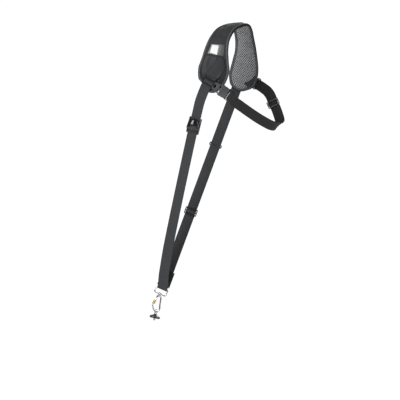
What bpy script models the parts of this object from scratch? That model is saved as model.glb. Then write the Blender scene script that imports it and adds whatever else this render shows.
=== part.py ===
"""Camera sling strap, held in its worn form. Metres, +Z up, seen from the front along +Y.

The origin is under the top of the shoulder pad, where a shoulder carries it.
"""

import math

import bmesh
import bpy
from mathutils import Matrix, Vector

# Fits
FIT = 0.0003
RUN_FIT = 0.0001
PANEL_GAP = 0.0005
LOOSE = 0.0008

# Webbing
WEB_WIDTH = 0.0254
WEB_THICK = 0.0016

# Shoulder pad
PAD_REACH = 0.077
PAD_DEPTH = 0.063
PAD_DROP = 0.169
PAD_HALF_WIDTH = 0.038
PAD_CUP = 0.0024
SHELL_EDGE = 0.0025
SHELL_CROWN = 0.0050
LINING_EDGE = 0.0015
LINING_CROWN = 0.0030
CROWN_RUN = 0.010
PAD_MARGIN = 0.0075
BINDING_WALL = 0.0012
BINDING_LAP = 0.0048
BINDING_FIT = 0.0006
PANEL_THICK = 0.0010
FLAP_THICK = 0.0015

# Main strap
RING_SIDE = 0.1890
RING_DROP = 0.6575
FRONT_BOW = 0.0090
RUN_BOW = 0.0060
CAM_FRONT_SHARE = 0.195
CAM_REAR_SHARE = 0.048
SLIDER_SHARE = 0.382
LOOP_SHARE = 0.707

# Where the webbing leaves the pad, in rows from each end
FRONT_LEAVE = 0.55
REAR_LEAVE = 0.50
REAR_LEAN = 20
REAR_LEAD = 0.040

# Sliders and loops
BAR = 0.0024
BAR_PITCH = 0.0075
BAR_LIFT = 0.0029
LOOP_WIRE = 0.0028
LOOP_GAP = 0.0072
FOLD_TAIL = 0.024

# Metal ring and hook
RING_WIRE = 0.0035
RING_PITCH = 0.0156
RING_TILT = math.radians(23.5)
HOOK_TILT = math.radians(12.6)
BOSS_RADIUS = 0.0045
BOSS_HEIGHT = 0.0044
POST_RADIUS = 0.0020
SHOULDER_RADIUS = 0.0030
POST_HEAD = 0.0036
POST_HEAD_HEIGHT = 0.0018
HOOK_WIRE = 0.0040
HOOK_WIDTH = 0.0120
HOOK_LENGTH = 0.0400
GATE_WIRE = 0.0038
GATE_LENGTH = 0.0240
LUG_THICK = 0.0015
LUG_RADIUS = 0.0026
GATE_PIN = 0.0016
SLEEVE_WALL = 0.0015
HOOK_TOP = 0.0030
LUG_CLEAR = 0.0031
SLEEVE_LENGTH = 0.0105
SLEEVE_START = 0.0105

# Camera fastener
EYE_WIRE = 0.0020
EYE_INSIDE = 0.0078
EYE_TURN = math.radians(50)
BASE_RADIUS = 0.0135
BASE_HEIGHT = 0.0090
STEM_RADIUS = 0.0032
STEM_LENGTH = 0.0008
EYE_UP = 0.0012
WASHER_THICK = 0.0016
STUD_RADIUS = 0.0030
STUD_LENGTH = 0.0055

# Cam locks
CAM_HALF_LENGTH = 0.0205
CAM_FOOT = 0.0115
CAM_GAP = 0.0005
CAM_PLATE = 0.0020
CAM_WALL = 0.0026
CAM_RADIUS = 0.0032
CAM_PIN = 0.0026
CAM_WALL_RIM = 0.0025
LEVER_LENGTH = 0.0300
LEVER_HALF_WIDTH = 0.0160
LEVER_EDGE = 0.0014
LEVER_DOME = 0.0060

# Side-release buckle
BUCKLE_LEAN = 34
BUCKLE_UP = 0.0125
LEAD_LENGTH = 0.0400
NECK_LENGTH = 0.0130
NECK_HOLE = 0.0060
MALE_THICK = 0.0040
ARM_WIDTH = 0.0030
PRONG_START = 0.0030
PRONG_LENGTH = 0.0075
TONGUE_HALF_WIDTH = 0.0034
SOCKET_OFFSET = 0.0180
SOCKET_LENGTH = 0.0200
SOCKET_HALF_WIDTH = 0.0152
SOCKET_THICK = 0.0092
SOCKET_WALL = 0.0016
SOCKET_TAIL = 0.0110
TAIL_THICK = 0.0044
END_BAR = 0.0036
SLOT_LENGTH = 0.0036

# Underarm strap
UNDERARM_REACH = 0.105
UNDERARM_DEPTH = 0.062
UNDERARM_DROP = 0.2515
UNDERARM_BULGE = 0.0050
UNDERARM_SLIDER = 10.0
TAB_LENGTH = 0.026

# Pad sections from the front end over the shoulder to the rear end. x, y and z are shares of
# PAD_REACH, PAD_DEPTH and PAD_DROP, half is a share of PAD_HALF_WIDTH, turn is in degrees.
PAD_ROWS = (
    {"x": -1.020, "y": -0.985, "z": -0.985, "half": 0.32, "turn": 0},
    {"x": -0.909, "y": -0.990, "z": -0.911, "half": 0.64, "turn": 0},
    {"x": -0.851, "y": -1.000, "z": -0.831, "half": 0.88, "turn": 0},
    {"x": -0.786, "y": -1.000, "z": -0.675, "half": 1.00, "turn": -3},
    {"x": -0.747, "y": -0.985, "z": -0.538, "half": 0.88, "turn": -6},
    {"x": -0.695, "y": -0.950, "z": -0.367, "half": 0.755, "turn": -12},
    {"x": -0.584, "y": -0.840, "z": -0.201, "half": 0.67, "turn": -20},
    {"x": -0.364, "y": -0.540, "z": -0.062, "half": 0.66, "turn": -27},
    {"x": 0.000, "y": 0.000, "z": 0.000, "half": 0.67, "turn": -31},
    {"x": 0.149, "y": 0.500, "z": -0.062, "half": 0.65, "turn": -27},
    {"x": 0.224, "y": 0.825, "z": -0.213, "half": 0.63, "turn": -20},
    {"x": 0.255, "y": 0.940, "z": -0.390, "half": 0.69, "turn": -12},
    {"x": 0.240, "y": 0.985, "z": -0.533, "half": 0.80, "turn": -6},
    {"x": 0.208, "y": 1.000, "z": -0.675, "half": 0.895, "turn": 0},
    {"x": 0.156, "y": 0.985, "z": -0.805, "half": 0.90, "turn": 0},
    {"x": 0.091, "y": 0.970, "z": -0.905, "half": 0.72, "turn": 0},
    {"x": 0.052, "y": 0.955, "z": -0.985, "half": 0.30, "turn": 0},
)

# Across the pad, as shares of the half width inside the binding.
PAD_COLUMNS = (-1.0, -0.62, -0.25, 0.25, 0.62, 1.0)

# Panels on the front half: left and right edges from top to bottom, as shares of PAD_REACH and PAD_DROP.
LABEL_ROWS = (
    {"left": (-0.851, -0.283), "right": (-0.425, -0.293)},
    {"left": (-0.905, -0.350), "right": (-0.440, -0.375)},
    {"left": (-0.985, -0.415), "right": (-0.462, -0.462)},
)
PATCH_ROWS = (
    {"left": (-0.815, -0.292), "right": (-0.600, -0.302)},
    {"left": (-0.860, -0.350), "right": (-0.630, -0.372)},
    {"left": (-0.895, -0.405), "right": (-0.665, -0.440)},
)
FLAP_ROWS = (
    {"left": (-1.010, -0.435), "right": (-0.462, -0.482)},
    {"left": (-1.075, -0.530), "right": (-0.430, -0.570)},
    {"left": (-1.110, -0.620), "right": (-0.430, -0.640)},
    {"left": (-1.120, -0.680), "right": (-0.540, -0.720)},
    {"left": (-1.080, -0.720), "right": (-0.660, -0.790)},
)

# Front run from the pad to the ring. at is a share of the run, bow a share of FRONT_BOW to the side,
# lean is how far the width slopes down to the right in degrees, tip how far it turns in depth.
FRONT_ROWS = (
    {"at": 0.00, "bow": 0.00, "lean": 34, "tip": 0.08},
    {"at": 0.07, "bow": 0.70, "lean": 23, "tip": -0.14},
    {"at": 0.15, "bow": 0.85, "lean": 14, "tip": -0.30},
    {"at": 0.24, "bow": 0.98, "lean": 14, "tip": -0.30},
    {"at": 0.54, "bow": 1.00, "lean": 11, "tip": -0.32},
    {"at": 0.80, "bow": 0.85, "lean": 12, "tip": -0.25},
    {"at": 0.93, "bow": 0.45, "lean": 17, "tip": -0.10},
    {"at": 0.985, "bow": 0.05, "lean": 22, "tip": 0.00},
)

# Underarm strap from the buckle round the side to the loop at the rear half of the pad. x, y and z are
# shares of UNDERARM_REACH, UNDERARM_DEPTH and UNDERARM_DROP, lean is the slope of the width in degrees.
UNDERARM_ROWS = (
    {"x": -0.100, "y": -1.18, "z": -0.755, "lean": 56, "tip": 0.00},
    {"x": 0.020, "y": -1.05, "z": -0.789, "lean": 56, "tip": 0.00},
    {"x": 0.183, "y": -0.82, "z": -0.838, "lean": 56, "tip": 0.00},
    {"x": 0.412, "y": -0.54, "z": -0.904, "lean": 58, "tip": 0.00},
    {"x": 0.652, "y": -0.25, "z": -0.965, "lean": 60, "tip": -0.05},
    {"x": 0.836, "y": 0.02, "z": -1.000, "lean": 56, "tip": -0.10},
    {"x": 0.960, "y": 0.27, "z": -0.998, "lean": 44, "tip": -0.10},
    {"x": 1.000, "y": 0.50, "z": -0.957, "lean": 30, "tip": -0.10},
    {"x": 0.967, "y": 0.68, "z": -0.899, "lean": 20, "tip": -0.15},
    {"x": 0.898, "y": 0.82, "z": -0.819, "lean": 18, "tip": -0.20},
    {"x": 0.843, "y": 0.90, "z": -0.775, "lean": 23, "tip": -0.25},
    {"x": 0.774, "y": 0.99, "z": -0.707, "lean": 34, "tip": -0.30},
    {"x": 0.690, "y": 1.07, "z": -0.657, "lean": 44, "tip": -0.30},
    {"x": 0.580, "y": 1.13, "z": -0.620, "lean": 52, "tip": -0.25},
    {"x": 0.480, "y": 1.16, "z": -0.592, "lean": 56, "tip": -0.20},
)

LAST_UNDERARM = len(UNDERARM_ROWS) - 1

# Hook wire, as shares of HOOK_WIDTH to the right and HOOK_LENGTH downwards.
HOOK_ROWS = (
    {"right": -0.39, "down": 0.025},
    {"right": -0.15, "down": -0.005},
    {"right": 0.15, "down": 0.005},
    {"right": 0.36, "down": 0.070},
    {"right": 0.45, "down": 0.300},
    {"right": 0.52, "down": 0.550},
    {"right": 0.60, "down": 0.800},
    {"right": 0.42, "down": 0.950},
    {"right": 0.00, "down": 1.000},
    {"right": -0.42, "down": 0.945},
    {"right": -0.74, "down": 0.815},
    {"right": -1.02, "down": 0.650},
)

# Lever outline from its pin end to its tip. at is a share of LEVER_LENGTH, half of LEVER_HALF_WIDTH,
# dome of LEVER_DOME.
LEVER_ROWS = (
    {"at": 0.00, "half": 0.80, "dome": 0.20},
    {"at": 0.11, "half": 0.82, "dome": 0.50},
    {"at": 0.16, "half": 0.97, "dome": 0.68},
    {"at": 0.27, "half": 1.00, "dome": 0.90},
    {"at": 0.45, "half": 0.96, "dome": 1.00},
    {"at": 0.65, "half": 0.84, "dome": 0.90},
    {"at": 0.82, "half": 0.64, "dome": 0.66},
    {"at": 0.94, "half": 0.38, "dome": 0.36},
    {"at": 1.00, "half": 0.16, "dome": 0.12},
)


def clear_scene():
    for old in list(bpy.data.objects):
        bpy.data.objects.remove(old, do_unlink=True)


def make_material(name, colour, roughness, metallic=0.0):
    material = bpy.data.materials.new(name)
    material.use_nodes = True
    shader = material.node_tree.nodes["Principled BSDF"]
    shader.inputs["Base Color"].default_value = (*colour, 1.0)
    shader.inputs["Roughness"].default_value = roughness
    shader.inputs["Metallic"].default_value = metallic
    return material


def make_object(name, mesh, material, smooth_angle=None):
    data = bpy.data.meshes.new(name)
    bmesh.ops.recalc_face_normals(mesh, faces=mesh.faces)
    mesh.to_mesh(data)
    mesh.free()
    if smooth_angle:
        data.shade_smooth()
        data.set_sharp_from_angle(angle=math.radians(smooth_angle))
    obj = bpy.data.objects.new(name, data)
    bpy.context.scene.collection.objects.link(obj)
    obj.data.materials.append(material)
    return obj


def hide_helper(obj):
    obj.hide_render = True
    obj.display_type = "WIRE"
    return obj


def loft(mesh, rings, closed=False):
    """Skins rings of points with the same count. An open loft is capped with strips between its pairs."""
    made = [[mesh.verts.new(point) for point in ring] for ring in rings]
    count = len(made[0])
    pairs = list(zip(made, made[1:]))
    if closed:
        pairs.append((made[-1], made[0]))
    for first, second in pairs:
        for i in range(count):
            j = (i + 1) % count
            mesh.faces.new((first[i], first[j], second[j], second[i]))
    if closed:
        return
    for ring in (made[0], made[-1]):
        for i in range(count // 2 - 1):
            mesh.faces.new((ring[i], ring[i + 1], ring[count - 2 - i], ring[count - 1 - i]))


def through(rows, key, position):
    """Catmull-Rom value of one column at a position counted in rows."""
    last = len(rows) - 1
    start = min(int(position), last - 1)
    part = position - start
    values = [rows[min(max(start + step, 0), last)][key] for step in (-1, 0, 1, 2)]
    if start == 0:
        values[0] = 2 * values[1] - values[2]
    if start == last - 1:
        values[3] = 2 * values[2] - values[1]
    a, b, c, d = values
    return b + 0.5 * part * (c - a + part * (2 * a - 5 * b + 4 * c - d + part * (3 * (b - c) + d - a)))


def smooth_step(value):
    value = min(max(value, 0.0), 1.0)
    return value * value * (3 - 2 * value)


def frame_matrix(origin, right, down, out):
    """Places a piece built with X across, Y along and Z out."""
    matrix = Matrix((right, down, out)).transposed().to_4x4()
    matrix.translation = origin
    return matrix


# Shoulder pad


def pad_section(position):
    """Centre, across and outward directions and half width of the pad at a position counted in rows."""
    crest = LINING_CROWN + FIT / 2

    def centre(at):
        return Vector((
            through(PAD_ROWS, "x", at) * PAD_REACH,
            through(PAD_ROWS, "y", at) * PAD_DEPTH,
            through(PAD_ROWS, "z", at) * PAD_DROP + crest,
        ))

    step = 0.02
    low = max(position - step, 0.0)
    high = min(position + step, len(PAD_ROWS) - 1)
    along = (centre(high) - centre(low)).normalized()
    turn = math.radians(through(PAD_ROWS, "turn", position))
    across = Vector((math.cos(turn), math.sin(turn), 0))
    across = (across - along * across.dot(along)).normalized()
    half = through(PAD_ROWS, "half", position) * PAD_HALF_WIDTH
    return centre(position), across, across.cross(along), half


def pad_point(position, side, rise):
    """A point on the pad, side metres across and rise metres outwards from between its two layers."""
    centre, across, out, half = pad_section(position)
    cup = cup_depth(position) * (side / half) ** 2
    return centre + across * side + out * (rise - cup)


def from_end(position):
    """Rows between a position and the nearer end of the pad, past the flat half row at each end."""
    return min(position, len(PAD_ROWS) - 1 - position) - 0.5


def cup_depth(position):
    return PAD_CUP * smooth_step(from_end(position) / 2)


def crown(position, side, half):
    """0 at the binding, 1 on the full padding."""
    inside = half - abs(side) - PAD_MARGIN
    return smooth_step(inside / CROWN_RUN) * smooth_step(from_end(position))


def shell_top(position, side, half):
    return FIT / 2 + SHELL_EDGE + (SHELL_CROWN - SHELL_EDGE) * crown(position, side, half)


def lining_depth(position, side, half):
    return FIT / 2 + LINING_EDGE + (LINING_CROWN - LINING_EDGE) * crown(position, side, half)


def pad_positions():
    return [step / 2 for step in range(2 * (len(PAD_ROWS) - 1) + 1)]


def pad_sides(half):
    flat = half - PAD_MARGIN
    return [-half] + [flat * column for column in PAD_COLUMNS] + [half]


def make_layer(name, material, near, far):
    """One layer of the pad between two heights, each a function of position, side and half width."""
    mesh = bmesh.new()
    rings = []
    for position in pad_positions():
        half = pad_section(position)[3]
        sides = pad_sides(half)
        upper = [pad_point(position, side, far(position, side, half)) for side in sides]
        lower = [pad_point(position, side, near(position, side, half)) for side in reversed(sides)]
        rings.append(upper + lower)
    loft(mesh, rings)
    bmesh.ops.triangulate(mesh, faces=mesh.faces, quad_method="FIXED")
    return make_object(name, mesh, material, 40)


def make_binding(material):
    """A channel of tape round the whole outline."""
    top = FIT / 2 + SHELL_EDGE + BINDING_FIT
    bottom = -FIT / 2 - LINING_EDGE - BINDING_FIT
    outer = FIT + BINDING_WALL
    profile = (
        (-BINDING_LAP, top + BINDING_WALL),
        (0.0, top + BINDING_WALL),
        (outer, top),
        (outer, bottom),
        (0.0, bottom - BINDING_WALL),
        (-BINDING_LAP, bottom - BINDING_WALL),
        (-BINDING_LAP, bottom),
        (FIT, bottom),
        (FIT, top),
        (-BINDING_LAP, top),
    )
    positions = pad_positions()
    outline = [(at, -pad_section(at)[3]) for at in positions]
    for end in (positions[-1], positions[0]):
        crossing = [(end, side) for side in pad_sides(pad_section(end)[3])[1:-1]]
        if end:
            outline += crossing
            outline += [(at, pad_section(at)[3]) for at in reversed(positions)]
        else:
            outline += reversed(crossing)
    points = [pad_point(at, side, 0) for at, side in outline]
    rings = []
    count = len(points)
    for i, (at, side) in enumerate(outline):
        across, out, half = pad_section(at)[1:]
        before = (points[i] - points[i - 1]).normalized()
        after = (points[(i + 1) % count] - points[i]).normalized()
        along = (before + after).normalized()
        outward = out.cross(along).normalized() / max(before.dot(along), 0.5)
        ring = []
        for offset, height in profile:
            moved = side + offset * outward.dot(across)
            rise = height + cup_depth(at) * (side * side - moved * moved) / half ** 2
            ring.append(points[i] + outward * offset + out * rise)
        rings.append(ring)
    mesh = bmesh.new()
    loft(mesh, rings, closed=True)
    return make_object("pad_binding", mesh, material, 40)


def pad_locate(x, z, rear=False):
    """Position and side on one half of the pad for a place seen from the front."""
    side = 0.0
    for _ in range(6):
        low, high = (len(PAD_ROWS) - 1, 9.0) if rear else (0.0, 7.0)
        for _ in range(30):
            position = (low + high) / 2
            centre, across = pad_section(position)[:2]
            if centre.z + across.z * side < z:
                low = position
            else:
                high = position
        side = (x - centre.x) / across.x
    return position, side


def make_panel(name, rows, material, gap, thick, columns=6, steps=3, lift=None):
    """A panel laid on the front half of the pad, between its left and right edges."""
    rings = []
    tables = {
        edge + axis: [{"v": row[edge][index]} for row in rows]
        for edge in ("left", "right")
        for index, axis in enumerate("xz")
    }
    total = (len(rows) - 1) * steps
    for i in range(total + 1):
        at = i / steps
        left = (through(tables["leftx"], "v", at) * PAD_REACH, through(tables["leftz"], "v", at) * PAD_DROP)
        right = (through(tables["rightx"], "v", at) * PAD_REACH, through(tables["rightz"], "v", at) * PAD_DROP)
        upper, lower = [], []
        for j in range(columns + 1):
            share = j / columns
            x = left[0] + (right[0] - left[0]) * share
            z = left[1] + (right[1] - left[1]) * share
            position, side = pad_locate(x, z)
            half = pad_section(position)[3]
            base = shell_top(position, side, half) + gap
            if lift:
                base += lift(i / total, share)
            upper.append(pad_point(position, side, base + thick))
            lower.append(pad_point(position, side, base))
        rings.append(upper + lower[::-1])
    mesh = bmesh.new()
    loft(mesh, rings)
    return make_object(name, mesh, material, 40)


def flap_lift(down, right):
    """The flap rises over the webbing at its foot, dips under the label and has one slanted crease."""
    over_web = WEB_THICK + FIT
    foot = over_web * smooth_step((down - 0.45) / 0.3)
    dent = 0.0016 * math.exp(-(((right - 0.30) / 0.22) ** 2 + ((down - 0.18) / 0.18) ** 2))
    crease = 0.0014 * math.exp(-(((right - 0.62 + 0.55 * down) / 0.07) ** 2))
    edge = 0.0020 * smooth_step((right - 0.86) / 0.14) * smooth_step((down - 0.5) / 0.3)
    return foot + crease + edge + (0.0016 - dent)


# Webbing


def make_ribbon(name, stations, material):
    mesh = bmesh.new()
    rings = []
    for centre, across, out in stations:
        half = across * (WEB_WIDTH / 2)
        rise = out * (WEB_THICK / 2)
        rings.append([centre - half - rise, centre + half - rise, centre + half + rise, centre - half + rise])
    loft(mesh, rings)
    return make_object(name, mesh, material)


def weave(distance):
    """How far the webbing lifts to pass over the middle bar of a slider."""
    flat = BAR / 4
    share = (abs(distance) - flat) / (BAR_PITCH - flat)
    height = BAR_LIFT + BAR / 2 + 2 * FIT + WEB_THICK / 2
    return height * 0.5 * (1 + math.cos(math.pi * min(max(share, 0.0), 1.0)))


def make_slider(name, place, material, bevel=True):
    """A three-bar slider: a plate with two slots, over the webbing at its outer bars."""
    opening = WEB_WIDTH / 2 + LOOSE
    half_width = opening + BAR
    half_length = BAR_PITCH + BAR / 2
    mesh = bmesh.new()
    bmesh.ops.create_cube(mesh, size=1.0, matrix=Matrix.Diagonal((2 * half_width, 2 * half_length, BAR, 1)))
    plate = make_object(name, mesh, material, 30)
    plate.matrix_world = place
    for side in (-1, 1):
        mesh = bmesh.new()
        slot = BAR_PITCH - BAR
        size = Matrix.Diagonal((2 * opening, slot, 3 * BAR, 1))
        bmesh.ops.create_cube(mesh, size=1.0, matrix=Matrix.Translation((0, side * BAR_PITCH / 2, 0)) @ size)
        cutter = hide_helper(make_object(f"{name}_slot_{side}", mesh, material))
        cutter.matrix_world = place
        cut = plate.modifiers.new("slot", "BOOLEAN")
        cut.operation = "DIFFERENCE"
        cut.object = cutter
    if bevel:
        round_edges(plate, BAR * 0.22)
    return plate


def round_edges(obj, width, segments=1, angle=40):
    bevel = obj.modifiers.new("edges", "BEVEL")
    bevel.width = width
    bevel.segments = segments
    bevel.limit_method = "ANGLE"
    bevel.angle_limit = math.radians(angle)
    return bevel


def rounded_loop(half_width, half_height, corner, steps=3):
    """Points of a rectangle with round corners, in the plane of the loop."""
    points = []
    for index, (sx, sy) in enumerate(((1, 1), (-1, 1), (-1, -1), (1, -1))):
        for i in range(steps + 1):
            angle = math.radians(90 * index + 90 * i / steps)
            x = sx * (half_width - corner) + corner * math.cos(angle)
            y = sy * (half_height - corner) + corner * math.sin(angle)
            points.append(Vector((x, y, 0)))
    return points


def sweep(mesh, path, radius, sides, closed=False, flat=Vector((0, 0, 1))):
    """A round wire along a path that lies square to the direction flat."""
    rings = []
    count = len(path)
    for i, point in enumerate(path):
        before = path[i - 1] if closed or i else point
        after = path[(i + 1) % count] if closed or i < count - 1 else point
        along = (after - before).normalized()
        side = along.cross(flat).normalized()
        stretch = 1.0
        if closed or 0 < i < count - 1:
            stretch = 1 / max((point - before).normalized().dot(along), 0.7)
        ring = []
        for k in range(sides):
            angle = 2 * math.pi * (k + 0.5) / sides
            ring.append(point + side * (radius * stretch * math.cos(angle)) + flat * (radius * math.sin(angle)))
        rings.append(ring)
    loft(mesh, rings, closed)


def make_loop(name, place, half_width, half_height, wire, material, sides=8):
    mesh = bmesh.new()
    sweep(mesh, rounded_loop(half_width, half_height, wire), wire / 2, sides, closed=True)
    loop = make_object(name, mesh, material, 50)
    loop.matrix_world = place
    return loop


def add_boolean(obj, helper, operation):
    modifier = obj.modifiers.new(operation.lower(), "BOOLEAN")
    modifier.operation = operation
    modifier.object = hide_helper(helper)
    return modifier


def make_cylinder(name, radius, low, high, axis, material, sides=16, centre=(0, 0, 0)):
    """A cylinder along local X, Y or Z between two heights."""
    mesh = bmesh.new()
    bmesh.ops.create_cone(
        mesh,
        cap_ends=True,
        segments=sides,
        radius1=radius,
        radius2=radius,
        depth=high - low,
    )
    turn = {
        "X": Matrix.Rotation(math.radians(90), 4, "Y"),
        "Y": Matrix.Rotation(math.radians(-90), 4, "X"),
        "Z": Matrix.Identity(4),
    }[axis]
    move = Matrix.Translation(Vector(centre)) @ turn @ Matrix.Translation((0, 0, (low + high) / 2))
    bmesh.ops.transform(mesh, matrix=move, verts=mesh.verts)
    return make_object(name, mesh, material, 40)


def make_box(name, low, high, material):
    mesh = bmesh.new()
    low, high = Vector(low), Vector(high)
    size = high - low
    matrix = Matrix.Translation((low + high) / 2) @ Matrix.Diagonal((*size, 1))
    bmesh.ops.create_cube(mesh, size=1.0, matrix=matrix)
    return make_object(name, mesh, material)


# Places that the parts share


def ring_axes():
    along = Vector((math.cos(RING_TILT), 0, -math.sin(RING_TILT)))
    down = Vector((-math.sin(RING_TILT), 0, -math.cos(RING_TILT)))
    return along, down, along.cross(down)


def ring_top():
    return Vector((-RING_SIDE, 0, -RING_DROP))


def hook_place():
    """Hook frame at the foot of the swivel boss: X right, Y down the hook, Z away from the viewer."""
    right = Vector((math.cos(HOOK_TILT), 0, -math.sin(HOOK_TILT)))
    down = Vector((-math.sin(HOOK_TILT), 0, -math.cos(HOOK_TILT)))
    bar = ring_top() + ring_axes()[1] * RING_PITCH
    return frame_matrix(bar + down * (BOSS_HEIGHT / 2 + FIT), right, down, right.cross(down))


def web_rise():
    """Height of the webbing's middle over the crown of the pad."""
    return FIT / 2 + SHELL_CROWN + PANEL_GAP + WEB_THICK / 2


def bend_radius(bar):
    return bar / 2 + FIT + WEB_THICK / 2


def width_direction(lean, tip):
    """Across direction for a width that slopes down to the right by lean degrees, turned in depth by tip."""
    angle = math.radians(lean)
    return Vector((math.cos(angle), tip, -math.sin(angle))).normalized()


def front_start():
    return pad_point(FRONT_LEAVE, -WEB_WIDTH / 3, web_rise())


def rear_start():
    return pad_point(len(PAD_ROWS) - 1 - REAR_LEAVE, -WEB_WIDTH / 3, web_rise())


def front_run(share):
    """Centre and across direction of the front run, by its share of the way from the pad to the ring."""
    start = front_start()
    if share < 0:
        up = Vector((math.sin(math.radians(BUCKLE_LEAN)), 0, math.cos(math.radians(BUCKLE_LEAN))))
        on_pad = start - up * (share * run_length())
        position, side = pad_locate(on_pad.x, on_pad.z)
        return pad_point(position, side, web_rise()), width_direction(BUCKLE_LEAN, 0.0)
    stop = ring_top() - Vector((0, bend_radius(RING_WIRE), 0))
    low = max(i for i, row in enumerate(FRONT_ROWS[:-1]) if row["at"] <= share)
    first, second = FRONT_ROWS[low]["at"], FRONT_ROWS[low + 1]["at"]
    position = min(low + (share - first) / (second - first), len(FRONT_ROWS) - 1)
    bow = through(FRONT_ROWS, "bow", position) * FRONT_BOW
    across = width_direction(through(FRONT_ROWS, "lean", position), through(FRONT_ROWS, "tip", position))
    return start.lerp(stop, share) - Vector((bow, 0, 0)), across


def rear_run(share):
    """Centre and across direction of the rear run, by its share of the way from the ring to the pad."""
    start = ring_top() + Vector((0, bend_radius(RING_WIRE), 0))
    stop = rear_start()
    ring_lean = math.degrees(RING_TILT)
    lean = ring_lean + (REAR_LEAN - ring_lean) * smooth_step(share / 0.3)
    if share > 1:
        up = Vector((math.sin(math.radians(lean)), 0, math.cos(math.radians(lean))))
        on_pad = stop + up * ((share - 1) * run_length())
        position, side = pad_locate(on_pad.x, on_pad.z, rear=True)
        return pad_point(position, side, web_rise()), width_direction(lean, 0.0)
    bow = RUN_BOW * math.sin(math.pi * share)
    return start.lerp(stop, share) + Vector((0, bow, 0)), width_direction(lean, 0.0)


def underarm_run(position):
    """Centre and across direction of the underarm strap at a position counted in rows."""
    last = len(UNDERARM_ROWS) - 1
    at = min(position, last)

    def centre(step):
        return Vector((
            through(UNDERARM_ROWS, "x", step) * UNDERARM_REACH,
            through(UNDERARM_ROWS, "y", step) * UNDERARM_DEPTH,
            through(UNDERARM_ROWS, "z", step) * UNDERARM_DROP,
        ))

    place = centre(at)
    if position > last:
        place += (centre(last) - centre(last - 0.2)) * ((position - last) / 0.2)
    across = width_direction(-through(UNDERARM_ROWS, "lean", at), through(UNDERARM_ROWS, "tip", at))
    return place, across


def run_length():
    """Length that shares of the two main runs are counted in."""
    return RING_DROP - PAD_DROP


def run_station(run, share, step):
    """Centre, along, across and outward directions at one place on a run."""
    centre, across = run(share)
    along = (run(share + step)[0] - run(share - step)[0]).normalized()
    across = (across - along * across.dot(along)).normalized()
    return centre, along, across, along.cross(across)


def hardware_place(run, share, step, lift=0.0, upside=False):
    """Frame for a piece on a run: X across, Y along the webbing, Z outwards, lifted off its middle."""
    centre, along, across, out = run_station(run, share, step)
    if upside:
        return frame_matrix(centre + out * lift, -across, along, out)
    return frame_matrix(centre + out * lift, across, -along, out)


def fine_spread(low, high, coarse, middle, reach, fine):
    """Even steps between two ends, with finer steps where the webbing weaves through a slider."""
    steps = max(2, round((high - low) / coarse))
    values = [low + (high - low) * i / steps for i in range(steps + 1)]
    values = [value for value in values if abs(value - middle) > reach + fine]
    count = round(reach / fine)
    values += [middle + fine * i for i in range(-count, count + 1)]
    return sorted(values)


def woven(run, values, step, middle, per_metre, sign):
    """Stations of a run that lift over the middle bar of the slider on it."""
    middle_centre, way, wide, up = run_station(run, middle, step)
    stations = []
    for value in values:
        centre, _, across, out = run_station(run, value, step)
        distance = (value - middle) / per_metre
        hold = 1 - smooth_step((abs(distance) - BAR_PITCH) / BAR_PITCH)
        centre = centre.lerp(middle_centre + way * distance, hold)
        centre += up * (sign * weave(distance))
        stations.append((centre, across.lerp(wide, hold), out))
    return tilt_out(stations)


def tilt_out(stations):
    """Turns each station's outward direction square to the woven path."""
    centres = [station[0] for station in stations]
    turned = []
    last = len(stations) - 1
    for i, (centre, across, _) in enumerate(stations):
        along = (centres[min(i + 1, last)] - centres[max(i - 1, 0)]).normalized()
        across = (across - along * across.dot(along)).normalized()
        turned.append((centre, across, along.cross(across)))
    return turned


def fold(bar, across, start, radius, degrees, sign, steps=6):
    """Webbing turning round a bar, from the unit direction start, by degrees about the across direction."""
    stations = []
    for i in range(steps + 1):
        turned = Matrix.Rotation(math.radians(degrees) * i / steps, 3, across) @ start
        stations.append((bar + turned * radius, across, turned * sign))
    return stations


def loop_bar(run, share, step, wire):
    """The bar that a run folds round, on the outer side of the run."""
    centre, along, across, out = run_station(run, share, step)
    return centre + out * bend_radius(wire), along, across, out


def returning(run, start, stop, step, wire, bulge=0.0, count=14):
    """The layer that comes back down the outer side of a run after the fold."""
    stations = []
    near = WEB_THICK + 2 * FIT
    far = 2 * bend_radius(wire)
    for i in range(1, count + 1):
        share = i / count
        centre, _, across, out = run_station(run, start + (stop - start) * share, step)
        lift = near + (far - near) * (1 - smooth_step(share * 3)) + bulge * math.sin(math.pi * share) ** 1.2
        stations.append((centre + out * lift, across, -out))
    return stations


# Soft parts


def make_main_webbing(material):
    unit = run_length()
    step = 0.002
    lead = LEAD_LENGTH / unit
    fine = BAR_PITCH / 6 / unit
    reach = BAR_PITCH / unit
    frame_at = -BUCKLE_UP / unit
    values = fine_spread(-lead, FRONT_ROWS[-1]["at"], 0.035, frame_at, reach, fine)
    stations = woven(front_run, values, step, frame_at, 1 / unit, 1)
    along = ring_axes()[0]
    stations += fold(ring_top(), along, Vector((0, -1, 0)), bend_radius(RING_WIRE), 180, 1)
    values = fine_spread(0.012, LOOP_SHARE - 0.004, 0.035, SLIDER_SHARE, reach, fine)
    stations += woven(rear_run, values, step, SLIDER_SHARE, 1 / unit, -1)
    bar, _, across, out = loop_bar(rear_run, LOOP_SHARE, step, LOOP_WIRE)
    stations += fold(bar, across, -out, bend_radius(LOOP_WIRE), -180, -1)
    stations += returning(rear_run, LOOP_SHARE, SLIDER_SHARE, step, LOOP_WIRE)
    return make_ribbon("main_webbing", stations, material)


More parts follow.
